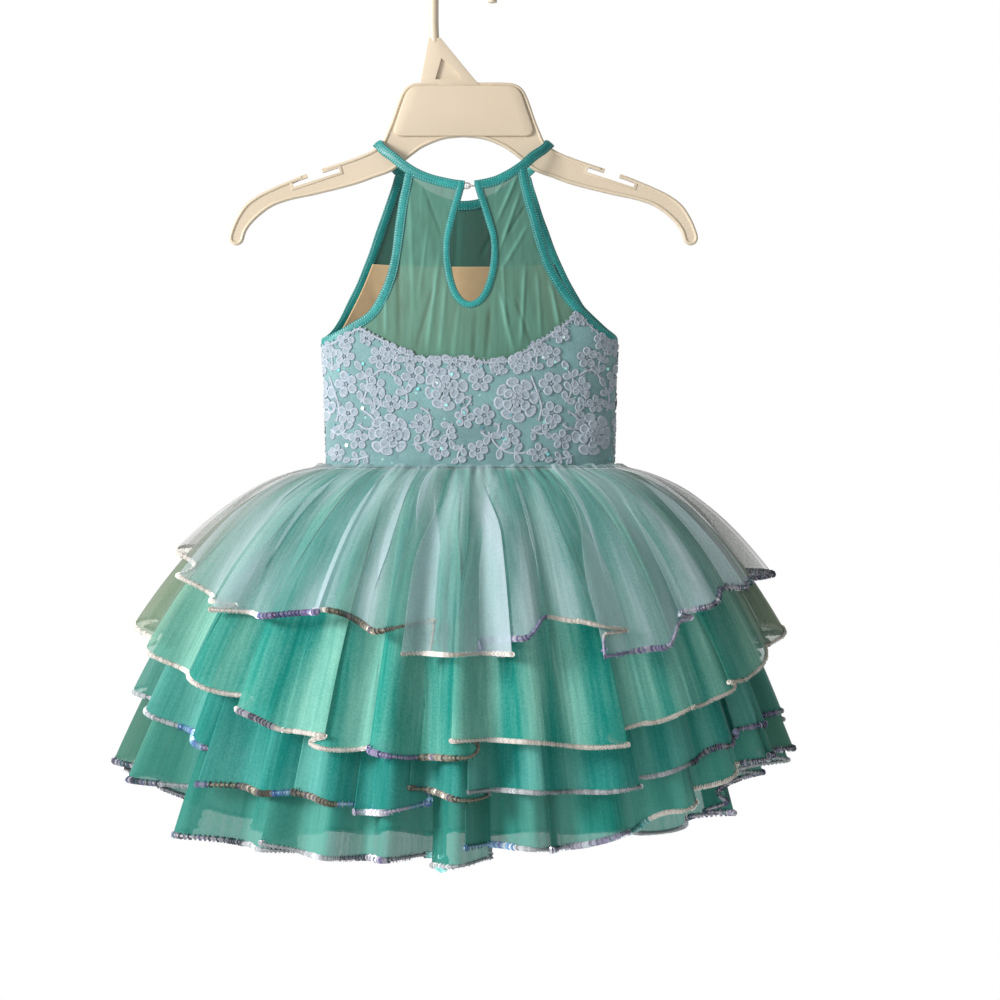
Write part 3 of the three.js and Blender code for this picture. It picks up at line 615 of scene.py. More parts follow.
def patch(top, right, bottom, left, columns, rows):
    """The cloth between four lines that cross at its corners, as a grid of places."""
    tl, tr = crossing(top, left), crossing(top, right)
    bl, br = crossing(bottom, left), crossing(bottom, right)

    def edge(line, first, last, count):
        return [between(line, first, last, k / count) for k in range(count + 1)]

    up, down = edge(top, tl[0], tr[0], columns), edge(bottom, bl[0], br[0], columns)
    west, east = edge(left, tl[1], bl[1], rows), edge(right, tr[1], br[1], rows)

    def at(u, v):
        i, j = round(u * columns), round(v * rows)
        corners = up[0].lerp(up[-1], u).lerp(down[0].lerp(down[-1], u), v)
        return up[i].lerp(down[i], v) + west[j].lerp(east[j], u) - corners

    return at


back_neck = smooth(places(NECK_BACK))
front_neck = smooth(places(NECK_FRONT, True))
side_left = Vector((-math.pi / 2 * PLACE_SCALE, ARM_BOTTOM))
side_right = -side_left
side_right[1] = ARM_BOTTOM
left_arm = smooth(
    places(LEFT_ARM_BACK) + [side_left] + turned(places(LEFT_ARM_FRONT, True), -1)
)
right_arm = smooth(places(RIGHT_ARM_BACK) + [side_right] + places(RIGHT_ARM_FRONT, True))
back_seam = smooth(places(BACK_SEAM))
front_seam = smooth(places(FRONT_SEAM, True))
keyhole = smooth(places(KEYHOLE))

BACK_CREASES = [
    (41.9, -166, 26.2, -203, 1.5, 0.9), (43.6, -180, 27.9, -225, 1.4, 0.8),
    (35, -166, 24.4, -183, 1.1, 0.6), (49, -206, 29.6, -240, 1.6, 0.7),
    (48, -190, 33, -214, 1.2, -0.5), (-17.5, -228, -27.1, -303, 1.7, 0.9),
    (-12.2, -246, -17.5, -306, 1.5, 0.8), (-21, -250, -36, -303, 1.4, -0.6),
    (27.9, -256, 38.4, -303, 1.5, 0.9), (20.9, -268, 17.5, -309, 1.4, -0.9),
    (47.1, -234, 43.6, -298, 1.5, 0.8), (66.3, -250, 73.3, -285, 1.6, 0.9),
    (56, -240, 59, -292, 1.4, 0.6), (-48.9, -228, -47.1, -296, 1.7, -0.8),
    (-40.1, -172, -36.6, -284, 1.8, 0.5), (-3, -268, -7, -307, 1.3, 0.6),
    (10, -270, 8, -309, 1.2, -0.6), (30, -230, 33, -290, 1.3, 0.5),
    (-30, -176, -16, -214, 1.3, -0.4), (-58, -258, -58, -290, 1.4, 0.7),
    (-26, -205, -33, -262, 1.3, 0.4), (40, -262, 52, -297, 1.3, -0.5),
]
FRONT_CREASES = [
    (-38, -178, -14, -232, 1.8, 0.7), (36, -180, 12, -230, 1.7, 0.8),
    (-4, -192, -8, -260, 1.6, 0.5), (18, -190, 22, -270, 1.6, -0.5),
    (-28, -190, -40, -290, 1.8, 0.6), (50, -200, 48, -290, 1.6, 0.6),
    (-60, -235, -56, -288, 1.7, -0.6), (70, -240, 62, -285, 1.7, 0.7),
]


def power_mesh_finish(name, deep, light, cover):
    """Sheer stretch mesh: painted light and more cover on crease ridges, painted shade in
    hollows.
    """
    power_mesh, tone = new_material(
        name, Sheen_Weight=0.35, Sheen_Roughness=0.35, Specular_IOR_Level=0.2
    )
    ribs = knit(tone, tone.laid("cloth"), 1.7, 0.5)
    cloud = tone.noise(tone.place(), 22, 3)
    streaks = tone.noise(tone.scaled(tone.place(), (1, 1, 0.12)), 260, 2)
    # The crease value paints light on crease ridges and shade in their hollows; streaks and cloud
    # are the mesh's own uneven tone.
    tint = tone.kept("crease_shading") * 0.6 + streaks.over(0.35, 0.7) * 0.2 + cloud * 0.2
    feed(
        power_mesh,
        Base_Color=tint.colour(deep, light),
        Roughness=cloud * 0.1 + 0.6,
        Alpha=(tint * 0.12 + cover + (ribs - 0.5) * 0.16).clamped(),
        Normal=tone.bump(ribs, 0.00008, 0.4),
    )
    return power_mesh


# Painted crease shading: its value on flat mesh, and how much a crease's height raises or lowers
# it.
CREASE_SHADING_FLAT, CREASE_SHADING_GAIN = 0.35, 0.7


def power_mesh_panel(name, node, finish, edges, grid, creases, hole=None):
    """A panel of power mesh between four edges, with its creases and a cut-out left open."""
    at = patch(*edges, *grid)
    bm = cloth_grid(*grid)
    crease_shading = bm.verts.layers.float.new("crease_shading")
    cut = {}
    for vert in bm.verts:
        u, v, _ = vert.co
        spot = at(u, v)
        cut[vert] = spot
        angle, z = spot[0] / PLACE_SCALE, spot[1]
        point = form_point(angle, z)
        raised = creased(creases, point.x, z)
        # Painted light and shade: lighter where a crease stands up, darker where it sinks in.
        vert[crease_shading] = min(max(CREASE_SHADING_FLAT + CREASE_SHADING_GAIN * raised, 0), 1)
        vert.co = point + form_normal(angle, z) * raised
    area = sum(face.calc_area() for face in bm.faces) * MM**2
    if hole:
        gone = [
            face for face in bm.faces
            if inside(hole, sum((cut[v] for v in face.verts), Vector((0, 0))) / len(face.verts))
        ]
        bmesh.ops.delete(bm, geom=gone, context="FACES")
    map_cloth(bm, lambda vert: (vert.co.x, vert.co.z))
    piece = keep(bm, name, "power_mesh", finish, [node])


def inside(outline, spot):
    """Whether a place lies within a closed outline of places."""
    within = False
    for a, b in zip(outline, outline[1:] + outline[:1]):
        if (a[1] > spot[1]) != (b[1] > spot[1]):
            if spot[0] < a[0] + (b[0] - a[0]) * (spot[1] - a[1]) / (b[1] - a[1]):
                within = not within
    return within


BAND_WIDTH, KEYHOLE_BAND_WIDTH = 7.6, 5.6
UNDER_BAND = 1.2
tucked = BAND_WIDTH / 2 - UNDER_BAND
left_edge, right_edge = beside(left_arm, tucked), beside(right_arm, -tucked)
left_edge_front = turned(left_edge, 1)
keyhole_cut = keyhole + places([(11, -165), (-1, -165)])
power_mesh_panel(
    "back_yoke_mesh", "back_yoke",
    power_mesh_finish("green power mesh", (0.045, 0.115, 0.08), (0.14, 0.35, 0.275), 0.86),
    (beside(back_neck, -tucked), right_edge, back_seam, left_edge), (130, 120),
    BACK_CREASES, keyhole_cut,
)
# The front yoke is the same green mesh as the back; its darker colours are painted shade, as it
# is seen from inside the costume.
power_mesh_panel(
    "front_yoke_mesh", "front_yoke",
    power_mesh_finish("green power mesh in painted shade", (0.010, 0.07, 0.048), (0.04, 0.17, 0.125), 0.94),
    (beside(front_neck, tucked), right_edge, front_seam, left_edge_front), (90, 90),
    FRONT_CREASES,
)

# A panel of nude tricot hangs behind the front yoke's lower half and the front bodice.

LINING_TOP, LINING_BOTTOM, LINING_HALF = -233, -380, math.radians(68)
LINING_BEHIND, LINING_SAG, TRICOT_THICK = -2.2, 1.5, 0.5
LINING_CREASES = [
    (-70, -245, -50, -330, 4, 0.5),
    (-12, -236, -6, -300, 3, 0.35),
    (24, -238, 20, -310, 3.5, -0.4),
    (60, -250, 42, -330, 4, 0.5),
]

tricot, tone = new_material("nude tricot", Sheen_Weight=0.3, Specular_IOR_Level=0.25)
stitches = knit(tone, tone.laid("cloth"), 2.2, 0.4)
mottled = tone.noise(tone.place(), 60, 3)
feed(
    tricot,
    Base_Color=(stitches * 0.3 + mottled * 0.7).colour((0.54, 0.36, 0.19), (0.74, 0.54, 0.32)),
    Roughness=mottled * 0.15 + 0.72,
    Normal=tone.bump(stitches, 0.0001, 0.6),
)


def lining_side(edge, z, side):
    """The angle of the lining's side: the armhole's edge, or its own side seam below."""
    seam = math.pi + side * LINING_HALF
    for a, b in zip(edge, edge[1:]):
        if min(a[1], b[1]) <= z <= max(a[1], b[1]) and a[1] != b[1]:
            arm = mix(a[0], b[0], (z - a[1]) / (b[1] - a[1])) / PLACE_SCALE
            if abs(arm - math.pi) < abs(seam - math.pi):
                return arm
    return seam


half_turn = math.pi * PLACE_SCALE
left_front = [p for p in left_edge_front if p[0] < 1.5 * half_turn]
right_front = [p for p in right_edge if p[0] > 0.5 * half_turn]
bm = cloth_grid(110, 96)
for vert in bm.verts:
    u, v, _ = vert.co
    z = mix(LINING_TOP - LINING_SAG * math.cos(3 * (u - 0.5)), LINING_BOTTOM, v)
    angle = mix(lining_side(left_front, z, 1), lining_side(right_front, z, -1), u)
    point = form_point(angle, z, LINING_BEHIND)
    vert.co = point + form_normal(angle, z) * creased(LINING_CREASES, point.x, z)
map_cloth(bm, lambda vert: (vert.co.x, vert.co.z))
lining = keep(
    bm, "front_lining_tricot", "nude_lining", tricot, ["front_lining"],
    [("SOLIDIFY", dict(thickness=TRICOT_THICK * MM, offset=-1))],
)


# ---- Bodice ----
# A band of teal stretch knit with small scattered sequins under a grey net, back and front,
# cut along the top in a sweetheart line and sewn to the yokes, the armholes and the skirt.

WAIST, PAST_WAIST, LOWEST_ARM_EDGE = -387, 2, -240
BODICE_OFF, KNIT_THICK = 1.0, 0.7
BODICE_CREASES = [
    (-92, -300, -108, -345, 4, -1.0), (-98, -296, -78, -318, 3.5, 0.7),
    (-60, -345, -100, -384, 5, 0.7), (20, -340, 30, -386, 4, -0.6),
    (80, -300, 104, -335, 5, 0.8), (98, -345, 70, -386, 5, -0.7),
    (-20, -360, -26, -388, 3, 0.5), (52, -362, 50, -388, 3, 0.5),
    (-50, -366, -46, -388, 3, -0.5), (0, -368, 2, -388, 2.5, 0.4),
]

knit_cloth, tone = new_material(
    "sequinned teal knit under net", Sheen_Weight=0.3, Specular_IOR_Level=0.35
)
uv = tone.laid("cloth")
turned_uv = tone.make(
    "ShaderNodeMapping", {"Vector": uv, "Rotation": (0, 0, math.pi / 4), "Scale": (1.1, 1.1, 1)}
)
net_cells = tone.make(
    "ShaderNodeTexVoronoi", {"Vector": turned_uv, "Scale": 1.0, "Randomness": 0.12},
    feature="DISTANCE_TO_EDGE",
)
net = net_cells.under(0.08, 0.24)
specks = tone.noise(tone.place(), 700, 3, 0.75)
spots = tone.make(
    "ShaderNodeTexVoronoi", {"Vector": uv, "Scale": 0.11, "Randomness": 1.0}, feature="F1"
)
lucky = tone.make("ShaderNodeSeparateColor", {0: spots.output(1)})
sequin = spots.under(0.085, 0.1) * lucky.over(0.45, 0.5)
cloud = tone.noise(tone.place(), 26, 4, 0.6)
glitter = tone.noise(uv, 2.6, 2, 0.8).over(0.60, 0.72)
base = cloud.over(0.3, 0.7).colour((0.055, 0.20, 0.20), (0.15, 0.38, 0.37))
netted = (net * 0.35 + specks.over(0.35, 0.65) * 0.3).colour(base, (0.34, 0.42, 0.46))
glinting = (glitter * 0.4).colour(netted, (0.35, 0.68, 0.62))
feed(
    knit_cloth,
    Base_Color=(sequin * 0.9).colour(glinting, (0.55, 1.0, 0.86)),
    Roughness=0.62 - glitter * 0.25 - sequin * 0.45,
    Metallic=sequin * 0.5,
    Normal=tone.bump(net * 0.8 + specks * 0.6, 0.0003, 0.8),
)


def bodice_top(front):
    """The upper edge of a bodice panel: the seam, or the armholes at its two ends."""
    lines = (front_seam, left_edge_front) if front else (back_seam, left_edge)

    def height(across):
        found = []
        for line in (*lines, right_edge):
            for a, b in zip(line, line[1:]):
                if min(a[0], b[0]) <= across <= max(a[0], b[0]) and a[0] != b[0]:
                    if min(a[1], b[1]) < LOWEST_ARM_EDGE:
                        found.append(mix(a[1], b[1], (across - a[0]) / (b[0] - a[0])))
        return min(found) if found else ARM_BOTTOM - tucked

    return height


def bodice_rise(point, angle, front):
    """How far creases lift the bodice at a point of the form; they fade at its side seams."""
    x = -point.x if front else point.x
    return creased(BODICE_CREASES, x, point.z) * (1 - abs(math.sin(angle)) ** 8)


def bodice_panel(name, node, front):
    top = bodice_top(front)
    start = 90 if front else -90
    bm = cloth_grid(220, 52)
    for vert in bm.verts:
        u, v, _ = vert.co
        angle = math.radians(start + 180 * u)
        z = mix(top(angle * PLACE_SCALE), WAIST - PAST_WAIST, v)
        point = form_point(angle, z, BODICE_OFF)
        vert.co = point + form_normal(angle, z) * bodice_rise(point, angle, front)
    map_cloth(bm, lambda vert: (arc_length(vert.co), vert.co.z))
    piece = keep(
        bm, name, "lace_fabric", knit_cloth, [node],
        [("SOLIDIFY", dict(thickness=KNIT_THICK * MM, offset=-1))],
    )


ARC_STEPS, ARC_HEIGHT = 720, -330
arc_table = [0]
for step in range(ARC_STEPS):
    ends = [form_point(2 * math.pi * (step + k) / ARC_STEPS, ARC_HEIGHT) for k in (0, 1)]
    arc_table.append(arc_table[-1] + (ends[1] - ends[0]).length)


def arc_at(angle):
    """Length round the form from the centre of the back, by its size at the bodice."""
    at = (angle / (2 * math.pi)) * ARC_STEPS
    turns, within = divmod(at, ARC_STEPS)
    low = int(within)
    return turns * arc_table[-1] + mix(
        arc_table[low], arc_table[min(low + 1, ARC_STEPS)], within - low
    )


def arc_length(point):
    centre, width, depth = form_at(point.z)
    return arc_at(math.atan2((point.x - centre) / width, -point.y / depth))


def angle_at(length):
    """The angle at a length round the form."""
    turns, within = divmod(length, arc_table[-1])
    low, high = 0, ARC_STEPS
    while high - low > 1:
        middle = (low + high) // 2
        low, high = (middle, high) if arc_table[middle] <= within else (low, middle)
    part = (within - arc_table[low]) / (arc_table[high] - arc_table[low])
    return (turns + (low + part) / ARC_STEPS) * 2 * math.pi


bodice_panel("back_bodice_knit", "back_bodice", False)
bodice_panel("front_bodice_knit", "front_bodice", True)


# ---- Corded lace ----
# Lilac-grey lace over the bodice: layered blossoms, small flowers, leaves and looped stems,
# each petal filled with stitches and edged with a thicker cord. Made flat, then laid on.

lace_yarn, tone = new_material(
    "lilac lace yarn", Sheen_Weight=0.5, Sheen_Roughness=0.5, Specular_IOR_Level=0.25
)
rays = tone.noise(tone.scaled(tone.laid("lace"), (30, 2.2, 1)), 2, 2, 0.6)
fuzz = tone.noise(tone.place(), 800, 3, 0.75)
# The cord value is partly the cord's own lighter yarn and partly painted light: it rises with the
# lace's height, darkest at the foot of a petal or stem.
rim = tone.kept("cord")
yarn = rim * 0.2 + rays * 0.4 + fuzz * 0.4
feed(
    lace_yarn,
    Base_Color=yarn.over(0.36, 0.66).colour((0.14, 0.21, 0.25), (0.52, 0.56, 0.63)),
    Roughness=fuzz * 0.15 + 0.7,
    Normal=tone.bump(yarn, 0.0005, 0.9),
)

lace_draw = random.Random(11)
PETAL_SIDES, PETAL_CORD, PETAL_FILL = 9, 0.09, 1.06
# Each ring of a petal, from the edge in: its height, and its cord value, which follows the height
# as painted shade at the foot and painted light on the raised cord.
PETAL_RINGS = [(0, 0.0), (0.6, 1.0), (0.32, 0.35)]


def lace_petal(bm, x, y, angle, length, width, lift):
    """One petal: a low oval pad with a raised rim, from its root outwards."""
    uv_layer = bm.loops.layers.uv["lace"]
    cord = bm.verts.layers.float["cord"]
    made = bmesh.ops.create_circle(bm, cap_ends=True, radius=0.5, segments=PETAL_SIDES)
    face = made["verts"][0].link_faces[0]
    pad = {face}
    for _ in range(2):
        pad.update(bmesh.ops.inset_region(
            bm, faces=[face], thickness=PETAL_CORD, use_even_offset=True, use_boundary=True
        )["faces"])
    rings = [[], [], []]
    for vert in {vert for part in pad for vert in part.verts}:
        rings[round((0.5 - vert.co.length) / PETAL_CORD)].append(vert)
    for ring, (height, corded) in zip(rings, PETAL_RINGS):
        for vert in ring:
            along = vert.co.x + 0.5
            vert[cord] = corded
            for loop in vert.link_loops:
                loop[uv_layer].uv = (vert.co.y + x * 0.37, along + y * 0.21)
            across = vert.co.y * width * (0.62 + 0.62 * along) * (1.25 - 0.35 * along)
            out = along * length
            vert.co = Vector((
                x + out * math.cos(angle) - across * math.sin(angle),
                y + out * math.sin(angle) + across * math.cos(angle),
                lift + height,
            ))


def lace_flower(bm, x, y, radius, petals, lift=0, turn=0, inner=0.12):
    for k in range(petals):
        angle = turn + 2 * math.pi * k / petals + lace_draw.uniform(-0.08, 0.08)
        root = radius * inner
        length = radius * lace_draw.uniform(0.82, 1.0) * (1 - inner)
        lace_petal(
            bm, x + root * math.cos(angle), y + root * math.sin(angle), angle, length,
            radius * (1 + inner) * math.sin(math.pi / petals) * PETAL_FILL, lift + 0.12 * (k % 2),
        )
    lace_petal(bm, x - radius * 0.1, y, 0, radius * 0.2, radius * 0.2, lift + 0.25)


def lace_blossom(bm, x, y, radius):
    """A full blossom: two rings of petals and a small flower in its middle."""
    turn = lace_draw.uniform(0, 1)
    lace_flower(bm, x, y, radius, 8, 0, turn, 0.5)
    lace_flower(bm, x, y, radius * 0.7, 6, 0.4, turn + 0.3, 0.3)
    lace_flower(bm, x, y, radius * 0.38, 5, 0.8, turn + 0.7, 0.1)


def lace_stem(bm, points, width=1.8, lift=0.1):
    """A corded stem along points, as a low three-sided ridge."""
    uv_layer = bm.loops.layers.uv["lace"]
    cord = bm.verts.layers.float["cord"]
    line = smooth(points, 7)
    rows = []
    for i, p in enumerate(line):
        ahead = (line[min(i + 1, len(line) - 1)] - line[max(i - 1, 0)]).normalized()
        side = Vector((-ahead[1], ahead[0])) * width / 2
        row = []
        for off, height in ((-1, 0), (0, 0.7), (1, 0)):
            vert = bm.verts.new((p[0] + side[0] * off, p[1] + side[1] * off, lift + height))
            # The ridge of the stem takes the full cord value and its foot less: painted light on
            # top, painted shade below.
            vert[cord] = 1 if height else 0.4
            row.append(vert)
        rows.append(row)
    for i, (a, b) in enumerate(zip(rows, rows[1:])):
        for k in (0, 1):
            face = bm.faces.new((a[k + 1], b[k + 1], b[k], a[k]))
            for loop in face.loops:
                loop[uv_layer].uv = (loop.vert.co.x * 0.3, i * 0.8)
    return line


def lace_spray(bm, points, leaf):
    """A stem that carries leaves in pairs, or small picots all along it."""
    line = lace_stem(bm, points)
    step = 7 if leaf else 3
    for i in range(2, len(line) - 1, step):
        ahead = line[min(i + 1, len(line) - 1)] - line[i - 1]
        angle = math.atan2(ahead[1], ahead[0])
        for side in (1, -1):
            if leaf:
                length = leaf * lace_draw.uniform(0.8, 1.1)
                lace_petal(bm, *line[i], angle + side * 0.95, length, leaf * 0.62, 0.15)
            elif (i // step) % 2 == (side > 0):
                lace_petal(bm, *line[i], angle + side * 1.5, 2.4, 2.0, 0.1)
    if leaf:
        ahead = line[-1] - line[-3]
        lace_petal(bm, *line[-1], math.atan2(ahead[1], ahead[0]), leaf, leaf * 0.6, 0.15)


# One repeat of the lace, x to the right and y up from the waist, which is 155 mm wide.
LACE_BLOSSOMS = [(35, 48, 18), (94, 22, 17.5), (137, 56, 17.5)]
LACE_FLOWERS = [
    (61, 60, 11), (62, 38, 10), (11, 36, 9.5), (118, 30, 9.5), (113, 66, 10), (8, 62, 10),
    (84, 58, 9), (38, 76, 10.5), (61, 81, 9), (151, 34, 9), (31, 21, 9), (70, 18, 9),
    (132, 10, 9.5), (6, 10, 9), (52, 8, 8), (88, 80, 9.5), (134, 82, 9.5), (12, 86, 9),
    (110, 88, 8.5), (96, 45, 8),
]
LACE_SPRAYS = [
    ([(14, 24), (20, 14), (30, 8), (42, 8)], 9), ([(46, 26), (54, 22), (60, 26)], 8),
    ([(72, 46), (76, 52), (78, 62), (74, 70)], 9), ([(106, 40), (108, 50), (104, 58)], 9),
    ([(112, 14), (120, 16), (126, 20)], 8), ([(142, 30), (138, 24), (140, 18)], 8.5),
    ([(20, 66), (22, 74), (20, 80)], 8.5), ([(48, 70), (50, 78), (48, 86)], 8.5),
    ([(98, 68), (98, 76), (102, 82)], 8.5), ([(122, 76), (120, 84), (124, 90)], 8.5),
    ([(150, 68), (154, 76), (152, 84)], 8.5), ([(80, 38), (86, 42), (88, 48)], 8),
    ([(150, 14), (146, 6), (148, 1)], 8), ([(78, 6), (72, 4), (64, 3)], 7.5),
]
LACE_LOOPS = [
    [(74, 40), (82, 34), (82, 28), (76, 26), (70, 30)],
    [(46, 66), (52, 50), (54, 42), (52, 32)],
    [(118, 42), (124, 38), (126, 30), (124, 22)],
    [(18, 30), (22, 28), (20, 22), (14, 20), (8, 24)],
    [(100, 64), (94, 70), (88, 70), (82, 66)],
    [(148, 46), (152, 50), (156, 48), (152, 42)],
]
LACE_REPEAT = 155
EDGING_STEP, EDGING_DOWN = 4, 2.2
LACE_OFF = 0.15


def lace_sheet(name, front):
    """The lace of one panel, clipped to the panel's edges."""
    parts = []

    def sew(make, *sizes):
        bm = bmesh.new()
        bm.loops.layers.uv.new("lace")
        bm.verts.layers.float.new("cord")
        make(bm, *sizes)
        parts.append(mesh_of(bm))

    for shift in (-LACE_REPEAT, 0):
        for x, y, radius in LACE_BLOSSOMS:
            sew(lace_blossom, x + shift, y, radius)
        for x, y, radius in LACE_FLOWERS:
            turn = lace_draw.uniform(0, 1)
            sew(lace_flower, x + shift, y, radius, 5, 0.2, turn)
        for points, leaf in LACE_SPRAYS:
            sew(lace_spray, [(x + shift, y) for x, y in points], leaf)
        for points in LACE_LOOPS:
            sew(lace_spray, [(x + shift, y) for x, y in points], 0)
    top = bodice_top(front)
    half = arc_at(math.pi / 2)
    middle = arc_at(math.pi) if front else 0
    edge_points = []
    for k in range(-int(half / EDGING_STEP), int(half / EDGING_STEP) + 1):
        edge = top(angle_at(k * EDGING_STEP + middle) * PLACE_SCALE)
        edge_points.append((k * EDGING_STEP, edge - WAIST - EDGING_DOWN))
    sew(lace_spray, edge_points, 0)
    for k, (x, y) in enumerate(edge_points[2:-2:4]):
        sew(lace_flower, x, y - 4, 6.5 + 1.5 * (k % 2), 5, 0.3, lace_draw.uniform(0, 1))
    bm = joined(parts)
    gone = []
    for face in bm.faces:
        spot = face.calc_center_median()
        edge = top(angle_at(spot.x + middle) * PLACE_SCALE)
        if abs(spot.x) > half - 1 or WAIST + 1 + spot.y > edge + EDGING_DOWN or spot.y < 0:
            gone.append(face)
    bmesh.ops.delete(bm, geom=gone, context="FACES")
    for vert in bm.verts:
        angle, z = angle_at(vert.co.x + middle), WAIST + 1 + vert.co.y
        point = form_point(angle, z)
        off = BODICE_OFF + LACE_OFF + vert.co.z + bodice_rise(point, angle, front)
        vert.co = point + form_normal(angle, z) * off
    bmesh.ops.recalc_face_normals(bm, faces=bm.faces)
    keep(bm, name, "lace_fabric", lace_yarn)


lace_sheet("back_lace", False)
lace_sheet("front_lace", True)


# ---- Bindings ----
# Folded strips of shiny teal spandex round the neck, the armholes and the keyhole, turned over
# the raw edges and held by two rows of coverstitch near their edges.

spandex, tone = new_material(
    "teal spandex",
    Sheen_Weight=0.35,
    Sheen_Roughness=0.3,
    Sheen_Tint=(0.5, 0.95, 0.9),
    Specular_IOR_Level=0.55,
)
uv = tone.laid("binding")
along, across, _ = uv.axes()
from_edge = tone.math("ABSOLUTE", across)
row = tone.math("ABSOLUTE", from_edge - 0.55).under(0.1, 0.22)
dash = tone.math("SINE", along * (2 * math.pi / 1.9)).over(-0.1, 0.3)
thread = row * dash
ribs = knit(tone, uv, 1.4, 0.5)
cloud = tone.noise(tone.place(), 40, 3)
ruck = tone.noise(tone.scaled(uv, (0.5, 1.4, 1)), 1.2, 3)
shade = cloud * 0.5 + ruck * 0.5
base = shade.over(0.35, 0.65).colour((0.0, 0.15, 0.145), (0.015, 0.30, 0.28))
# Painted shade: the colour darkens towards the band's two rolled edges.
edge_shaded = (from_edge.over(0.7, 1.0) * 0.6).colour(base, (0.0, 0.055, 0.055))
# Painted shade in the grooves along the two stitch rows.
groove_shaded = (row * 0.55).colour(edge_shaded, (0.0, 0.07, 0.07))
feed(
    spandex,
    Base_Color=(thread * 0.8).colour(groove_shaded, (0.10, 0.46, 0.42)),
    Roughness=shade * 0.25 + 0.28,
    Normal=tone.bump(ribs * 0.15 + thread * 0.9 - row * 0.9 + ruck * 0.5, 0.0005, 0.8),
)


BAND_SIDES, BAND_FLAT, BAND_CROWN, BAND_ROUND = 14, 0.75, 0.8, 1.1
BAND_UNEVEN = [(0.12, 9), (0.08, 4.3)]


def binding(name, node, line, width, thick, lift=None):
    """A flattened band along a line of places, a little crowned, with its ends closed."""
    bm = bmesh.new()
    uv_layer = bm.loops.layers.uv.new("binding")
    draw = random.Random(name)
    waves = [(*wave, draw.uniform(0, 6.28)) for wave in BAND_UNEVEN]
    turns = [2 * math.pi * k / BAND_SIDES for k in range(BAND_SIDES)]
    spots = [(spot[0] / PLACE_SCALE, spot[1]) for spot in line]
    centres = [form_point(angle, z) for angle, z in spots]
    rings, lengths, gone = [], [], 0
    for i, ((angle, z), centre) in enumerate(zip(spots, centres)):
        tangent = (centres[min(i + 1, len(centres) - 1)] - centres[max(i - 1, 0)]).normalized()
        up = Vector((0, 0, lift(angle) if lift else 0))
        side = (form_normal(angle, z) + up).cross(tangent).normalized()
        normal = tangent.cross(side).normalized()
        gone += (centre - centres[max(i - 1, 0)]).length
        uneven = sum(height * math.sin(gone / reach + shift) for height, reach, shift in waves)
        ring = []
        for turn in turns:
            u = math.copysign(abs(math.cos(turn)) ** BAND_FLAT, math.cos(turn))
            v = math.copysign(abs(math.sin(turn)) ** BAND_CROWN, math.sin(turn))
            ring.append(bm.verts.new(
                centre + side * (u * (width / 2 + uneven)) + normal * (v * thick / 2)
            ))
        rings.append(ring)
        lengths.append(gone)
    for i in range(len(rings) - 1):
        j = i + 1
        for k in range(BAND_SIDES):
            m = (k + 1) % BAND_SIDES
            face = bm.faces.new((rings[i][k], rings[j][k], rings[j][m], rings[i][m]))
            for loop, at, n in zip(face.loops, (i, j, j, i), (k, k, m, m)):
                loop[uv_layer].uv = (lengths[at], math.cos(turns[n]))
    bm.faces.new(rings[0])
    bm.faces.new(list(reversed(rings[-1])))
    bmesh.ops.recalc_face_normals(bm, faces=bm.faces)
    piece = keep(
        bm, name, "spandex_binding", spandex, [node],
        [("SUBSURF", dict(levels=1, render_levels=1))],
    )
    area = width * BAND_ROUND * gone * MM**2


OPENING_LEFT, OPENING_RIGHT, OPENING_Z = 1.5, 8.7, -176.3
NECK_OVER_HANGER = [(-13, -143.2), (0, -142.6), (13, -143.2)]


def neck_line():
    """The neckband's line: from the right of the opening, round the front, to its left."""
    back = places(NECK_BACK)
    start, end = places([(OPENING_RIGHT, OPENING_Z), (OPENING_LEFT, OPENING_Z)])
    points = [start] + [p for p in back if p[0] > start[0]] + places(NECK_FRONT, True)
    points += turned([p for p in back if p[0] < end[0]] + [end], 1)
    points += [
        Vector((math.radians(side + turn) * PLACE_SCALE, z))
        for side in (90, 270) for turn, z in NECK_OVER_HANGER
    ]
    return smooth(sorted(points, key=lambda p: p[0]), 8)


LOOP_LIFT, NECK_CLEAR = 1.2, 0.3


def loop_lift(angle):
    """The band turns flat over the hanger at the two sides."""
    return LOOP_LIFT * math.sin(angle) ** 16


def below_neck(arm, turns):
    """An armhole's line between its two ends, which are sewn under the neckband."""
    start = crossing(back_neck, arm)[1]
    end = crossing(front_neck, turned(arm, turns))[1]
    return arm[math.ceil(start + NECK_CLEAR):math.floor(end - NECK_CLEAR) + 1]


BAND_THICK, KEYHOLE_BAND_THICK = 2.2, 2.5
KEYHOLE_ENDS = [(-1.4, -173.2), (-1.7, -176.5)], [(11.9, -176.5), (11.6, -173.2)]
keyhole_line = smooth(places(KEYHOLE_ENDS[0] + KEYHOLE + KEYHOLE_ENDS[1]))
for node, *shape in (
    ("neckband", neck_line(), BAND_WIDTH, BAND_THICK, loop_lift),
    ("armhole_binding_left", below_neck(left_arm, 1), BAND_WIDTH, BAND_THICK),
    ("armhole_binding_right", below_neck(right_arm, 0), BAND_WIDTH, BAND_THICK),
    ("keyhole_binding", keyhole_line, KEYHOLE_BAND_WIDTH, KEYHOLE_BAND_THICK),
):
    binding(node + "_spandex", node, *shape)


# ---- Hook and eye ----
# A small nickel-plated wire hook and eye at the nape, sewn behind the ends of the neckband and
# fastened across the gap between them.

wire_metal, tone = new_material("nickel wire", Metallic=1.0)
worn = tone.noise(tone.place(), 900, 3)
feed(
    wire_metal,
    Base_Color=worn.colour((0.52, 0.50, 0.47), (0.85, 0.84, 0.80)),
    Roughness=worn * 0.25 + 0.15,
)
WIRE_RADIUS = 0.6
WIRE_AT = Vector((0, form_point(0, OPENING_Z).y + 1, OPENING_Z))


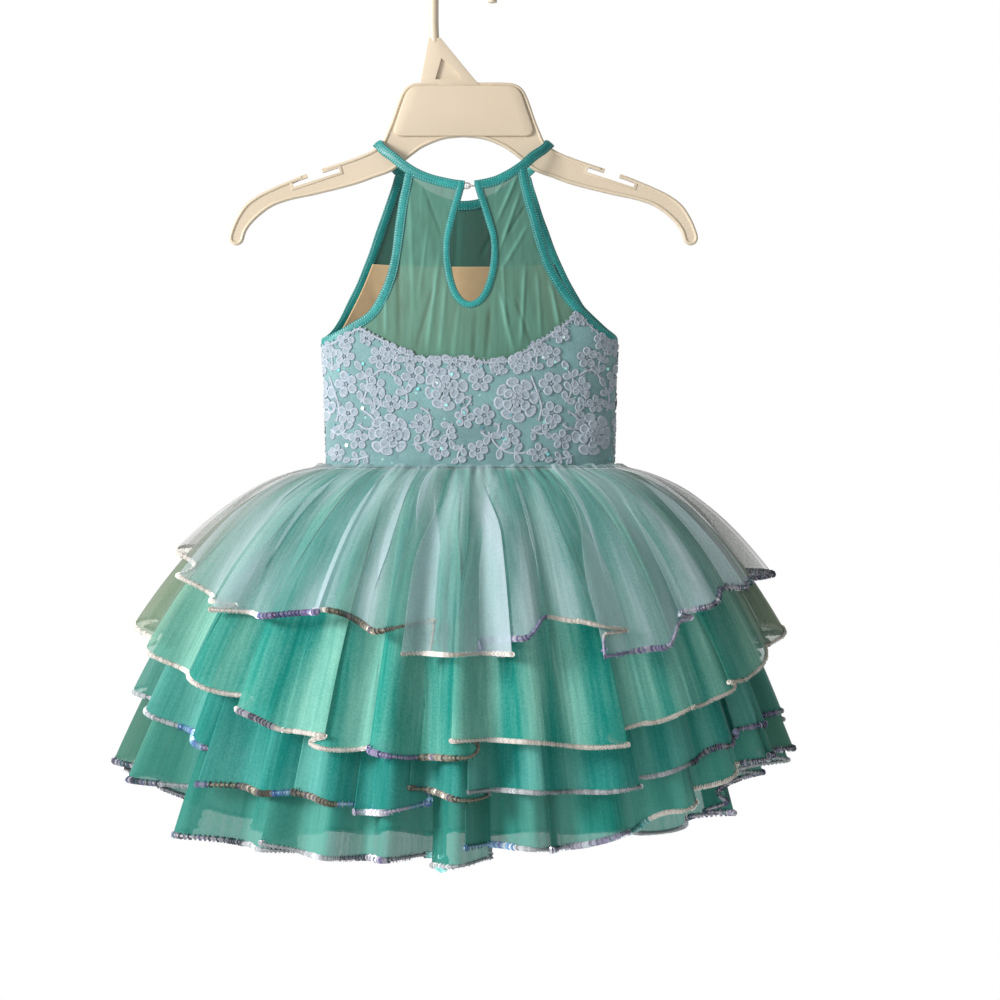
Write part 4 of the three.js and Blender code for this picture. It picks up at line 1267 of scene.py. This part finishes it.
def wire(name, node, points):
    curve = bpy.data.curves.new(name, "CURVE")
    curve.dimensions = "3D"
    curve.bevel_depth = WIRE_RADIUS * MM
    curve.bevel_resolution = 3
    curve.use_fill_caps = True
    spline = curve.splines.new("NURBS")
    line = smooth([WIRE_AT + Vector(p) for p in points], 5)
    spline.points.add(len(line) - 1)
    for point, spot in zip(spline.points, line):
        point.co = (*(spot * MM), 1)
    spline.use_endpoint_u = True
    shape = bpy.data.objects.new(name, curve)
    mesh = bpy.data.meshes.new_from_object(shape)
    bpy.data.objects.remove(shape)
    bpy.data.curves.remove(curve)
    bm = bmesh.new()
    bm.from_mesh(mesh)
    bmesh.ops.remove_doubles(bm, verts=bm.verts, dist=1e-6)
    bmesh.ops.scale(bm, verts=bm.verts, vec=(1 / MM, 1 / MM, 1 / MM))
    bmesh.ops.recalc_face_normals(bm, faces=bm.faces)
    keep(bm, name, "closure_metal", wire_metal, [node])


# Across from the middle of the back, behind the neckband's line, and up from the opening.
EYE = [
    (-4, 0, 2), (2, 0, 2), (4.6, 0, 1.8), (5.8, 0, 0), (4.6, 0, -1.8), (2, 0, -2), (-4, 0, -2),
]
HOOK = [(13, 1.8, 0), (7.4, 1.8, 0), (4.2, 1.2, 0), (3, 0, 0), (4.2, -1.2, 0), (7.4, -1.8, 0)]
wire("closure_eye_wire", "closure_eye", EYE)
wire("closure_hook_wire", "closure_hook", HOOK)


# ---- Skirt ----
# Four strips of soft tulle, each gathered onto the waist seam. The cloth laps over itself in deep
# folds, and each strip's ends meet in a lap at the front.

GATHERS = 26
TIER_STEP = 1.65
BODICE_CLOTH = 1.5
TULLE_START = WAIST - 0.9
FOLD_AT_WAIST, FOLD_AT_HEM, FOLD_REACH, FOLD_POWER = 0.7, 8, 120, 1.2
STEEPER_MIDDLE, PUCKER_REACH, TIGHT_REACH = 0.26, 0.16, 0.14

# A hem's rows give an angle, how far out from the waist it is there, and how far down. A lap's
# row gives an angle, its half width, +1 where the right side is on top, and where it starts.
TIERS = {
    "tier_1_lavender": dict(
        order=0,
        ripple=4,
        slope=0.06,
        flat=(1.75, 0.15),
        hem=[
            (-90, 108, 61), (-73, 111, 82), (-60, 114, 99), (-42, 114, 110), (-27, 112, 105),
            (-17, 111, 120), (-10.2, 111, 113), (-8.8, 112, 136), (4.3, 112, 136),
            (5.7, 111, 128), (10, 111, 125), (15, 111, 110), (21, 111, 113), (27.8, 112, 122),
            (29.2, 113, 138), (38, 113, 133), (46, 112, 112),
            (60, 111, 91), (74, 112, 86), (90, 112, 80), (120, 108, 98), (150, 111, 122),
            (180, 111, 130), (210, 112, 122), (240, 112, 90),
        ],
        laps=[
            (-9.5, 3.4, 1, 0.25), (5, 3.6, -1, 0.1), (28.5, 4.2, -1, 0.35), (47, 2.6, 1, 0.3),
            (-30, 2.2, -1, 0.0), (-52, 2.4, 1, 0.05), (64, 2.4, -1, 0.1), (110, 3, 1, 0.1),
            (138, 3.4, -1, 0.2), (163, 3, 1, 0.1), (190, 3.6, -1, 0.3), (214, 2.8, 1, 0.1),
            (238, 3, -1, 0.2),
        ],
    ),
    "tier_2_mint": dict(
        order=1,
        ripple=3,
        slope=0.1,
        flat=(1.8, 0.22),
        hem=[
            (-90, 141, 114), (-75, 141, 132), (-59, 138, 151), (-46, 133, 166), (-33, 130, 190),
            (-22, 128, 203), (-16, 127, 199), (-10, 127, 208), (-3, 127, 207), (1, 128, 195),
            (9, 128, 196), (22, 127, 201), (34, 126, 185), (46, 125, 174), (60, 124, 157),
            (78, 125, 133), (90, 125, 118), (120, 125, 152), (150, 126, 192), (180, 127, 205),
            (210, 128, 192), (240, 134, 148),
        ],
        laps=[
            (-0.5, 3.2, 1, 0.3), (-16, 2.4, 1, 0.2), (-27, 2.6, -1, 0.1), (-43, 2.2, 1, 0.3),
            (27, 2.4, -1, 0.3), (56, 2.6, 1, 0.2), (104, 3, -1, 0.2), (131, 3, 1, 0.2),
            (158, 3, -1, 0.2), (185, 3.4, 1, 0.3), (209, 3, -1, 0.1), (236, 3, 1, 0.2),
        ],
    ),
    "tier_3_teal": dict(
        order=2,
        ripple=2.5,
        slope=0.14,
        flat=(1.8, 0.26),
        hem=[
            (-90, 140, 163), (-75, 140, 176), (-58, 138, 195), (-49.2, 134, 207),
            (-47.8, 132, 228), (-38, 128, 234), (-30, 127, 231), (-24, 126, 240),
            (-16, 125, 246), (-9.6, 125, 240), (-8.2, 124, 227), (-1, 124, 236), (4, 124, 230),
            (24, 124, 232), (35, 123, 223), (46, 122, 213), (54, 121, 203), (70, 121, 190),
            (90, 121, 181), (120, 121, 206), (150, 122, 234), (180, 122, 243), (210, 124, 234),
            (240, 133, 198),
        ],
        laps=[
            (-48.5, 3, 1, 0.3), (-31, 2.8, 1, 0.2), (-19, 2.8, 1, 0.3), (-9, 2.6, 1, 0.4),
            (2, 3, 1, 0.3), (31, 2.4, -1, 0.4), (62, 2.6, 1, 0.2), (100, 3, 1, 0.2),
            (127, 3, -1, 0.2), (154, 3.4, 1, 0.2), (181, 3, -1, 0.3), (205, 3, 1, 0.1),
            (230, 3, -1, 0.2),
        ],
    ),
    "tier_4_deep": dict(
        order=3,
        ripple=4,
        slope=0.2,
        flat=(1.85, 0.29),
        hem=[
            (-90, 152, 215), (-75, 150, 226), (-60, 144, 233), (-54.7, 137, 243),
            (-53.3, 136, 262), (-45, 132, 271), (-36.7, 128, 274), (-35.3, 127, 264),
            (-30, 126, 276), (-22, 124, 278), (-6.2, 121, 276), (-4.8, 121, 284), (1.3, 120, 278),
            (2.7, 120, 268), (18, 121, 271), (31, 122, 260), (40, 123, 246), (48, 124, 233),
            (60, 125, 217), (75, 127, 210), (90, 127, 208), (111, 127, 233), (125, 127, 267),
            (140, 124, 286), (180, 121, 289), (220, 128, 286), (240, 140, 262), (253, 147, 238),
        ],
        laps=[
            (-54, 3, 1, 0.3), (-36, 3.2, 1, 0.3), (-5.5, 2.6, 1, 0.4), (2, 3.4, 1, 0.3),
            (16, 2.2, 1, 0.5), (46, 2.4, -1, 0.4), (70, 2.6, 1, 0.3), (97, 3, -1, 0.2),
            (124, 3, 1, 0.2), (151, 3.4, -1, 0.2), (178, 3, 1, 0.3), (202, 3, -1, 0.1),
            (227, 3, 1, 0.2),
        ],
    ),
}


def phase_of(angle):
    """The gathers' phase round the body: uneven, and the same for every tier."""
    return GATHERS * angle + 0.9 * math.sin(3 * angle + 0.5) + 0.6 * math.sin(5 * angle + 2)


FLATTER_AT, FLATTER_REACH, FLATTER_BY = math.radians(36), math.radians(21), 0.55


def fold_depth(angle):
    """How deep the gathers are round the body: the panel right of the back hangs flatter."""
    t = math.remainder(angle - FLATTER_AT, 2 * math.pi) / FLATTER_REACH
    uneven = 1 + 0.35 * math.sin(4 * angle + 1) + 0.25 * math.sin(7 * angle + 2.2)
    return uneven * (1 - FLATTER_BY * math.exp(-t * t))


def hem_at(rows, degrees):
    """How far out and down a tier's hem is at an angle."""
    first = rows[0][0]
    turned_to = (degrees - first) % 360 + first
    all_round = rows + [(first + 360, *rows[0][1:])]
    after = next(i for i, row in enumerate(all_round) if row[0] > turned_to)
    a, b = all_round[after - 1], all_round[after]
    t = (turned_to - a[0]) / (b[0] - a[0])
    return mix(a[1], b[1], t), mix(a[2], b[2], ease(t))


def apart(a, b):
    """The signed difference of two angles in degrees."""
    return (a - b + 180) % 360 - 180


# A lap and a tuck: over how many degrees the cloth turns back, how much of its width it turns
# back there, how far the side on top stands off, and how many degrees away it is still felt.
LAP_LENGTH, LAP_WIDTH, LAP_RISE, LAP_REACH = 1.9, 1.25, 3.2, 7
TUCK_LENGTH, TUCK_WIDTH, TUCK_RISE, TUCK_REACH = 0.75, 1, 1.3, 3
TUCKS, CREASES, CREASE_SPAN = 46, 150, 3.2
SPREAD = 9


def tucks_of(tier):
    """Small folds between the gathers, which open before they reach the hem."""
    draw = random.Random(31 + tier["order"])
    return [
        (draw.uniform(-180, 180), draw.uniform(1.0, 1.9), draw.choice((-1, 1)),
         draw.uniform(-0.1, 0.25), draw.uniform(0.55, 1.0))
        for _ in range(TUCKS)
    ]


def tulle_creases(tier):
    """Long soft creases that run down from the gathers, sharp on one side."""
    draw = random.Random(7 + tier["order"])
    return [
        (draw.uniform(-180, 180), draw.uniform(-5, 5), draw.uniform(0.5, 2.0),
         draw.choice((0.2, 0.3, 3.0, 4.0)), draw.uniform(-0.1, 0.4), draw.uniform(0.35, 0.95),
         draw.uniform(-1.2, 1.2), draw.uniform(0.3, 1))
        for _ in range(CREASES)
    ]


def turned_back(off, length, width, rise, top, grown):
    """How far the angle and the lift of the cloth change at an angle off a fold's middle."""
    t = off / length
    back = width * grown * 1.65 * t * math.exp(-t * t / 2)
    return back, top * rise * grown * math.tanh(1.3 * t) * math.exp(-t * t / 9)


class Tulle:
    """The shape of one tier: where the cloth at an angle and a share of its length hangs."""

    def __init__(self, tier):
        self.tier = tier
        self.tucks = tucks_of(tier)
        self.creases = tulle_creases(tier)
        self.columns = {}
        hems = [hem_at(tier["hem"], degrees) for degrees in range(360)]
        self.spread = [
            [sum(hems[(at + k) % 360][i] for k in range(-SPREAD, SPREAD + 1)) / (2 * SPREAD + 1)
             for i in (0, 1)]
            for at in range(360)
        ]

    def spread_at(self, degrees):
        """How far out and down the hem is on the average near an angle."""
        low, part = divmod(degrees % 360, 1)
        a, b = self.spread[int(low) % 360], self.spread[(int(low) + 1) % 360]
        return mix(a[0], b[0], part), mix(a[1], b[1], part)

    def near(self, degrees):
        """The laps, tucks and creases that are felt at an angle, and the hem there."""
        key = round(degrees, 4)
        if key not in self.columns:
            self.columns[key] = (
                [lap for lap in self.tier["laps"] if abs(apart(degrees, lap[0])) < LAP_REACH],
                [tuck for tuck in self.tucks if abs(apart(degrees, tuck[0])) < TUCK_REACH],
                [row for row in self.creases
                 if abs(apart(degrees, row[0])) < CREASE_SPAN * row[2] + abs(row[1])],
                hem_at(self.tier["hem"], degrees + self.hem_lead(degrees)),
            )
        return self.columns[key]

    def hem_lead(self, degrees):
        """The hem changes level where a lap hides it, under the side that lies on top."""
        lead = 0
        for centre, _, top, _ in self.tier["laps"]:
            t = apart(degrees, centre) / LAP_LENGTH
            lead += top * LAP_LENGTH * 0.8 * math.exp(-t * t / 2)
        return lead

    def folded(self, degrees, share):
        """The angle at which the cloth lies once it is lapped, and how far it is lifted."""
        laps, tucks, _, _ = self.near(degrees)
        folds = [
            turned_back(apart(degrees, centre), LAP_LENGTH, LAP_WIDTH * width, LAP_RISE, top,
                        ease((share - start) / 0.45))
            for centre, width, top, start in laps
        ] + [
            turned_back(apart(degrees, centre), TUCK_LENGTH, TUCK_WIDTH * width, TUCK_RISE, top,
                        ease((share - start) / 0.15) * ease((end - share) / 0.3))
            for centre, width, top, start, end in tucks
        ]
        return degrees - sum(back for back, _ in folds), sum(rise for _, rise in folds)

    def creasing(self, degrees, share):
        """How far creases lift the cloth here, and how much denser they make it look."""
        height = density = 0
        for at, lean, width, skew, start, length, lift, weight in self.near(degrees)[2]:
            t = apart(degrees, at + lean * share) / width
            t *= skew if t > 0 else 1 / max(skew, 0.5)
            along = (share - start) / length
            if abs(t) < 3 and 0 < along < 1:
                strength = math.exp(-t * t) * math.sin(math.pi * along) ** 0.6
                height += lift * strength
                density += weight * strength
        return height, density

    def point(self, degrees, share):
        """A point of the tier, in millimetres."""
        tier = self.tier
        order = tier["order"]
        lies, rise = self.folded(degrees, share)
        drop = self.near(degrees)[3][1]
        out, usual_drop = self.spread_at(lies)
        angle = math.radians(lies)
        centre, width, depth = form_at(WAIST)
        slope = tier["slope"] + STEEPER_MIDDLE * math.cos(angle) ** 2
        down = drop * (slope * share + (1 - slope) * share**2)
        level = slope**2 + 4 * (1 - slope) * down / usual_drop
        stand = out * (math.sqrt(max(level, 0)) - slope) / (2 - 2 * slope)
        phase = phase_of(angle)
        growth = (FOLD_AT_HEM - FOLD_AT_WAIST) * (max(stand, 0) / FOLD_REACH) ** FOLD_POWER
        shared = (FOLD_AT_WAIST + growth) * fold_depth(angle) * math.cos(phase)
        own = tier["ripple"] * share**2 * math.cos(phase + (order + 1) * math.pi / 2)
        own *= min(1, fold_depth(angle) + 0.2)
        near_waist = math.exp(-((share / PUCKER_REACH) ** 2))
        uneven = math.sin(angle * 23 + order) + math.sin(angle * 41 + 2)
        puckers = (1.2 * math.cos(angle * (88 + 6 * order)) + 0.8 * uneven) * near_waist
        inset = order * TIER_STEP - BODICE_CLOTH / 2
        reach = stand + shared + own - inset + rise * (0.2 + 0.8 * share)
        reach += puckers + self.creasing(degrees, share)[0]
        puff = (1.6 + uneven) * math.exp(-(((share - 0.035) / 0.03) ** 2)) if order == 0 else 0
        return Vector((
            centre + (width + reach) * math.sin(angle),
            -(depth + reach) * math.cos(angle),
            TULLE_START - order * TIER_STEP - down + puff,
        ))


def tulle_material(name, deep, light, shaded, thin, dense):
    """Soft nylon tulle: a veil of fine threads, denser where it is folded, and turned to a
    painted shade colour at the skirt's two sides.
    """
    material, tone = new_material(
        name, Sheen_Weight=0.25, Sheen_Roughness=0.4, Specular_IOR_Level=0.2
    )
    place = tone.place()
    uv = tone.laid("cloth")
    cloud = tone.noise(place, 14, 3)
    grain = tone.noise(place, 620, 3, 0.75)
    threads = tone.noise(tone.scaled(uv, (640, 5, 1)), 1, 2, 0.6)
    streaks = tone.noise(tone.scaled(uv, (150, 1.6, 1)), 1, 3, 0.6)
    bands = tone.noise(tone.scaled(uv, (46, 0.9, 1)), 1, 1, 0.5)
    layers = bands.over(0.42, 0.60) * 0.45 + streaks.over(0.35, 0.7) * 0.2
    weight = (
        tone.kept("density") * 0.6 + layers + cloud.over(0.3, 0.7) * 0.12 - 0.08
    ).clamped()
    cover = (weight * (dense - thin) + thin + (grain + threads - 1) * 0.25).clamped()
    lit = (weight + (grain + threads - 1) * 0.45).clamped()
    # The side value turns the colour to a painted shade colour at the two sides of the skirt.
    cloth = tone.kept("side").colour(lit.colour(deep, light), shaded)
    feed(
        material, Base_Color=cloth, Roughness=grain * 0.2 + 0.65, Alpha=cover,
        Normal=tone.bump(grain, 0.0003, 0.25),
    )
    glow = tone.make("ShaderNodeBsdfTranslucent", {"Color": cloth})
    bare = tone.make("ShaderNodeBsdfTransparent", {})
    veil = tone.make("ShaderNodeMixShader", {0: cover, 1: bare, 2: glow})
    shader = Tone(tone.tree, tone.tree.nodes["Principled BSDF"].outputs[0])
    both = tone.make("ShaderNodeMixShader", {0: 0.3, 1: shader, 2: veil})
    tone.tree.links.new(both.socket, tone.tree.nodes["Material Output"].inputs["Surface"])
    return material


TULLE_FINISH = {
    # deep colour, light colour, painted shade colour at the two sides, least and most cover
    "tier_1_lavender": ((0.46, 0.66, 0.66), (0.66, 0.70, 0.79), (0.40, 0.37, 0.34), 0.20, 0.84),
    "tier_2_mint": ((0.006, 0.34, 0.28), (0.46, 0.84, 0.69), (0.24, 0.23, 0.14), 0.66, 0.96),
    "tier_3_teal": ((0.003, 0.27, 0.235), (0.25, 0.65, 0.57), (0.08, 0.25, 0.20), 0.74, 0.97),
    "tier_4_deep": ((0.005, 0.22, 0.175), (0.15, 0.46, 0.38), (0.07, 0.17, 0.12), 0.84, 0.98),
}
STRIP_COLUMNS, STRIP_ROWS, CLOSER_AT_WAIST = 1400, 32, 1.1
STRIP_START, STRIP_LAP = 151, 6


def tulle_strip(name, shape):
    bm = cloth_grid(STRIP_COLUMNS, STRIP_ROWS)
    density = bm.verts.layers.float.new("density")
    side = bm.verts.layers.float.new("side")
    for vert in bm.verts:
        u, v, _ = vert.co
        degrees, share = STRIP_START + u * (360 + STRIP_LAP), v**CLOSER_AT_WAIST
        tight = 0.75 * math.exp(-((share / TIGHT_REACH) ** 2))
        # far is highest at the skirt's two sides, seen edge-on: there the tulle is denser, and
        # side paints shade on it.
        far = abs(math.sin(math.radians(degrees))) ** 14
        dense = shape.creasing(degrees, share)[1]
        vert[density] = min(1, 0.1 + 0.6 * dense + tight + 0.5 * far)
        vert[side] = 0.85 * far
        vert.co = shape.point(degrees, share)
    slot_name = "tulle_" + name.split("_")[-1]
    return keep(bm, name + "_tulle", slot_name, tulle_material(name, *TULLE_FINISH[name]), [name])


shapes = {name: Tulle(tier) for name, tier in TIERS.items()}
strips = {name: tulle_strip(name, shape) for name, shape in shapes.items()}


# ---- Hem trims ----
# A string of cup sequins along every hem, each about 5 mm across and lapped over the next. Some
# stretches turn their pearly backs out, and others their iridescent faces.

# In each list the first two colours, a light and a dark tone, alternate from one sequin to the
# next: partly the sequins' own colours, partly painted light and shade on their lapped faces.
TRIM_COLOURS = {
    "cream": [(0.94, 0.91, 0.85), (0.78, 0.73, 0.65), (0.96, 0.94, 0.90)],
    "grey": [(0.62, 0.66, 0.70), (0.38, 0.44, 0.47), (0.70, 0.73, 0.78)],
    "dark": [(0.05, 0.06, 0.12), (0.62, 0.62, 0.70), (0.04, 0.20, 0.24), (0.28, 0.24, 0.48)],
    "olive": [(0.05, 0.06, 0.04), (0.34, 0.31, 0.22), (0.16, 0.15, 0.08), (0.08, 0.07, 0.14)],
    "navy": [(0.04, 0.05, 0.25), (0.45, 0.40, 0.66), (0.06, 0.10, 0.30), (0.18, 0.08, 0.30)],
    "lilac": [(0.74, 0.72, 0.84), (0.30, 0.30, 0.55), (0.80, 0.78, 0.88), (0.20, 0.16, 0.40)],
    "silver": [(0.82, 0.85, 0.90), (0.60, 0.55, 0.75), (0.35, 0.42, 0.50), (0.70, 0.90, 0.92)],
    "blue": [(0.12, 0.35, 0.75), (0.30, 0.62, 0.86), (0.14, 0.18, 0.55), (0.75, 0.88, 0.95)],
    "aqua": [(0.10, 0.62, 0.62), (0.30, 0.82, 0.78), (0.05, 0.30, 0.36), (0.72, 0.95, 0.92)],
}
MATT_TRIMS = ("cream", "grey")
# Along each hem, the angle at which a stretch of one colour ends.
TRIM_STRETCHES = {
    "tier_1_lavender": [
        (-43.5, "cream"), (-30, "navy"), (-26, "cream"), (-10.5, "olive"), (4.5, "cream"),
        (15, "lilac"), (29.5, "cream"), (38.5, "lilac"), (51, "silver"), (90, "dark"),
        (118, "lilac"), (142, "cream"), (160, "navy"), (196, "cream"), (214, "silver"),
        (240, "lilac"), (262, "cream"),
    ],
    "tier_2_mint": [
        (-41, "cream"), (-35.5, "dark"), (-19.5, "cream"), (-9, "navy"), (-1, "olive"),
        (98, "cream"), (120, "dark"), (164, "cream"), (180, "lilac"), (226, "cream"),
        (240, "dark"), (262, "cream"),
    ],
    "tier_3_teal": [
        (-64, "grey"), (-53, "blue"), (-46, "lilac"), (-36.5, "olive"), (-31, "blue"),
        (-24, "olive"), (-18.5, "blue"), (-12.5, "silver"), (-8.5, "blue"), (0, "olive"),
        (44, "grey"), (60, "dark"), (84, "lilac"), (112, "grey"), (136, "blue"), (168, "grey"),
        (184, "silver"), (228, "grey"), (262, "lilac"),
    ],
    "tier_4_deep": [
        (-66, "dark"), (-56, "grey"), (-46, "dark"), (-23.5, "grey"), (-9.5, "dark"),
        (-5.5, "aqua"), (3, "grey"), (8.5, "blue"), (15, "grey"), (31, "silver"), (36, "aqua"),
        (64, "cream"), (86, "dark"), (110, "grey"), (130, "dark"), (176, "grey"),
        (190, "aqua"), (236, "grey"), (262, "dark"),
    ],
}

sequins, tone = new_material(
    "cup sequins", Specular_IOR_Level=0.7, Coat_Roughness=0.15, Thin_Film_Thickness=420.0,
    Thin_Film_IOR=1.5,
)
shiny = tone.kept("shiny")
worn = tone.noise(tone.place(), 700, 2)
feed(
    sequins,
    Base_Color=(worn * 0.35).colour(tone.kept("tint", 0), (0.55, 0.55, 0.58)),
    Roughness=0.5 - shiny * 0.3 + worn * 0.1,
    Metallic=shiny * 0.45,
    Coat_Weight=shiny * 0.5,
    Normal=tone.bump(worn, 0.0002, 0.5),
)
SEQUIN_RADIUS, MATT_RADIUS, SEQUIN_STEP, SEQUIN_TILT = 2.7, 2.1, 1.5, math.radians(48)
SEQUIN_SIDES, SEQUIN_CUP = 7, 0.6
CORE_RADIUS, CORE_SIDES, CORE_SHADE, CORE_STEPS = 1.2, 5, 0.6, 1500
ABOVE_HEM = 0.6
PART_VERTS = 900


def bead_parts():
    bm = bmesh.new()
    return bm, bm.verts.layers.float_color.new("tint"), bm.verts.layers.float.new("shiny")


def sequin(bm, radius, **settings):
    return bmesh.ops.create_circle(
        bm, cap_ends=True, cap_tris=True, radius=radius, segments=SEQUIN_SIDES, **settings
    )["verts"]


def hem_trim(name, shape):
    """The string of sequins along one hem, each turned well over on to the next."""
    draw = random.Random(name)
    line = []
    for i in range(CORE_STEPS + 1):
        degrees = STRIP_START + i / CORE_STEPS * (360 + STRIP_LAP)
        line.append((degrees, shape.point(degrees, 1.0), shape.point(degrees, 0.98)))
    kinds = []
    for degrees, _, _ in line:
        lies = apart(degrees, 90) + 90
        lies += 360 if lies < TRIM_STRETCHES[name][0][0] - 30 else 0
        kinds.append(next((k for end, k in TRIM_STRETCHES[name] if lies < end), "cream"))
    core = [spot + (above - spot).normalized() * ABOVE_HEM for _, spot, above in line]
    bm, tint, shiny = bead_parts()
    for ring, kind in zip(rod(bm, core, CORE_RADIUS, CORE_SIDES, Vector((0, 0, 1))), kinds):
        for vert in ring:
            vert[tint] = (*(c * CORE_SHADE for c in TRIM_COLOURS[kind][1]), 1)
    parts = [mesh_of(bm)]
    bm, tint, shiny = bead_parts()
    gone = count = 0
    last = line[0][1]
    for (_, spot, above), (_, ahead, _), kind in zip(line, line[1:], kinds):
        gone += (spot - last).length
        last = spot
        if gone < SEQUIN_STEP:
            continue
        gone -= SEQUIN_STEP
        count += 1
        matt = kind in MATT_TRIMS
        tangent = (ahead - spot).normalized()
        up = (above - spot).normalized()
        normal = tangent.cross(up).normalized()
        tilt = SEQUIN_TILT + draw.uniform(-0.2, 0.2)
        facing = (normal * math.cos(tilt) + tangent * math.sin(tilt)
                  + up * draw.uniform(-0.2, 0.2)).normalized()
        spin = facing.to_track_quat("Z", "Y").to_matrix()
        colours = TRIM_COLOURS[kind]
        # Mostly the light and dark tones in turn: painted light and shade on alternate sequins.
        colour = colours[count % 2] if draw.random() < 0.6 else draw.choice(colours)
        for vert in sequin(bm, MATT_RADIUS if matt else SEQUIN_RADIUS):
            if vert.co.length < 0.1:
                vert.co.z = SEQUIN_CUP
            vert[tint] = (*colour, 1)
            vert[shiny] = 0.0 if matt else 1.0
            vert.co = spot + up * ABOVE_HEM + spin @ vert.co
        if len(bm.verts) > PART_VERTS:
            parts.append(mesh_of(bm))
            bm, tint, shiny = bead_parts()
    bm = joined(parts + [mesh_of(bm)])
    trim = keep(bm, name + "_trim", "tulle_" + name.split("_")[-1], sequins)


for name, shape in shapes.items():
    hem_trim(name, shape)


# Loose sequins of the knit, which show here and there between the flowers of the lace.
LOOSE_RADIUS, LOOSE_COUNT, LOOSE_OFF = 1.3, 34, BODICE_OFF + 0.9


def loose_sequins(name, front):
    bm, tint, shiny = bead_parts()
    draw = random.Random(name)
    top = bodice_top(front)
    middle = math.pi if front else 0
    for _ in range(LOOSE_COUNT):
        angle = middle + draw.uniform(-1.4, 1.4)
        z = draw.uniform(WAIST + 4, top(angle * PLACE_SCALE) - 4)
        normal = form_normal(angle, z)
        spot = form_point(angle, z, LOOSE_OFF)
        facing = normal + Vector([draw.uniform(-0.3, 0.3) for _ in range(3)])
        spin = facing.to_track_quat("Z", "Y").to_matrix().to_4x4()
        colour = draw.choice(TRIM_COLOURS["aqua"])
        for vert in sequin(bm, LOOSE_RADIUS, matrix=Matrix.Translation(spot) @ spin):
            vert[tint] = (*colour, 1)
            vert[shiny] = 0.6
    keep(bm, name, "lace_fabric", sequins)


loose_sequins("back_bodice_sequins", False)
loose_sequins("front_bodice_sequins", True)


# ---- Floor and light ----
# A pale floor well below the hanging costume, and soft light from the front and left.

FLOOR_HALF, FLOOR_Z = 2.2, -1.5
bm = bmesh.new()
bmesh.ops.create_grid(bm, x_segments=1, y_segments=1, size=FLOOR_HALF)
bmesh.ops.translate(bm, verts=bm.verts, vec=(0, 0, FLOOR_Z))
floor = shown("floor", mesh_of(bm, "floor"))
floor_finish, _ = new_material("pale floor", Base_Color=(0.9, 0.9, 0.9), Roughness=0.9)
floor.data.materials.append(floor_finish)

world = bpy.data.worlds.new("studio")
bpy.context.scene.world = world
world.use_nodes = True
tone = Tone(world.node_tree)
across, away, height = tone.make("ShaderNodeTexCoord", {}).axes()
shade = (across * 0.85 - away * 0.5).over(-0.1, 0.8)
level = height.over(-0.6, -0.22) * 0.65 + 0.35 - height.over(0.25, 0.8) * 0.35
level = level * (1 - shade * 0.65)
background = world.node_tree.nodes["Background"]
tone.give(background.inputs["Strength"], level)
tone.give(background.inputs["Color"], (1, 1, 1))


AIM = Vector((0, 0, -0.4))
for name, spot, size, power in (
    ("key", Vector((-2.2, -1.3, 0.35)), 0.8, 88),
    ("fill", Vector((1.6, -1.8, -0.2)), 1.6, 2),
):
    light = bpy.data.lights.new(name, "AREA")
    light.size = size
    light.energy = power
    lamp = shown(name, light)
    lamp.location = spot
    lamp.rotation_euler = (AIM - spot).to_track_quat("-Z", "Y").to_euler()
bpy.context.scene.cycles.transparent_max_bounces = 48
bpy.context.scene.view_settings.view_transform = "Standard"
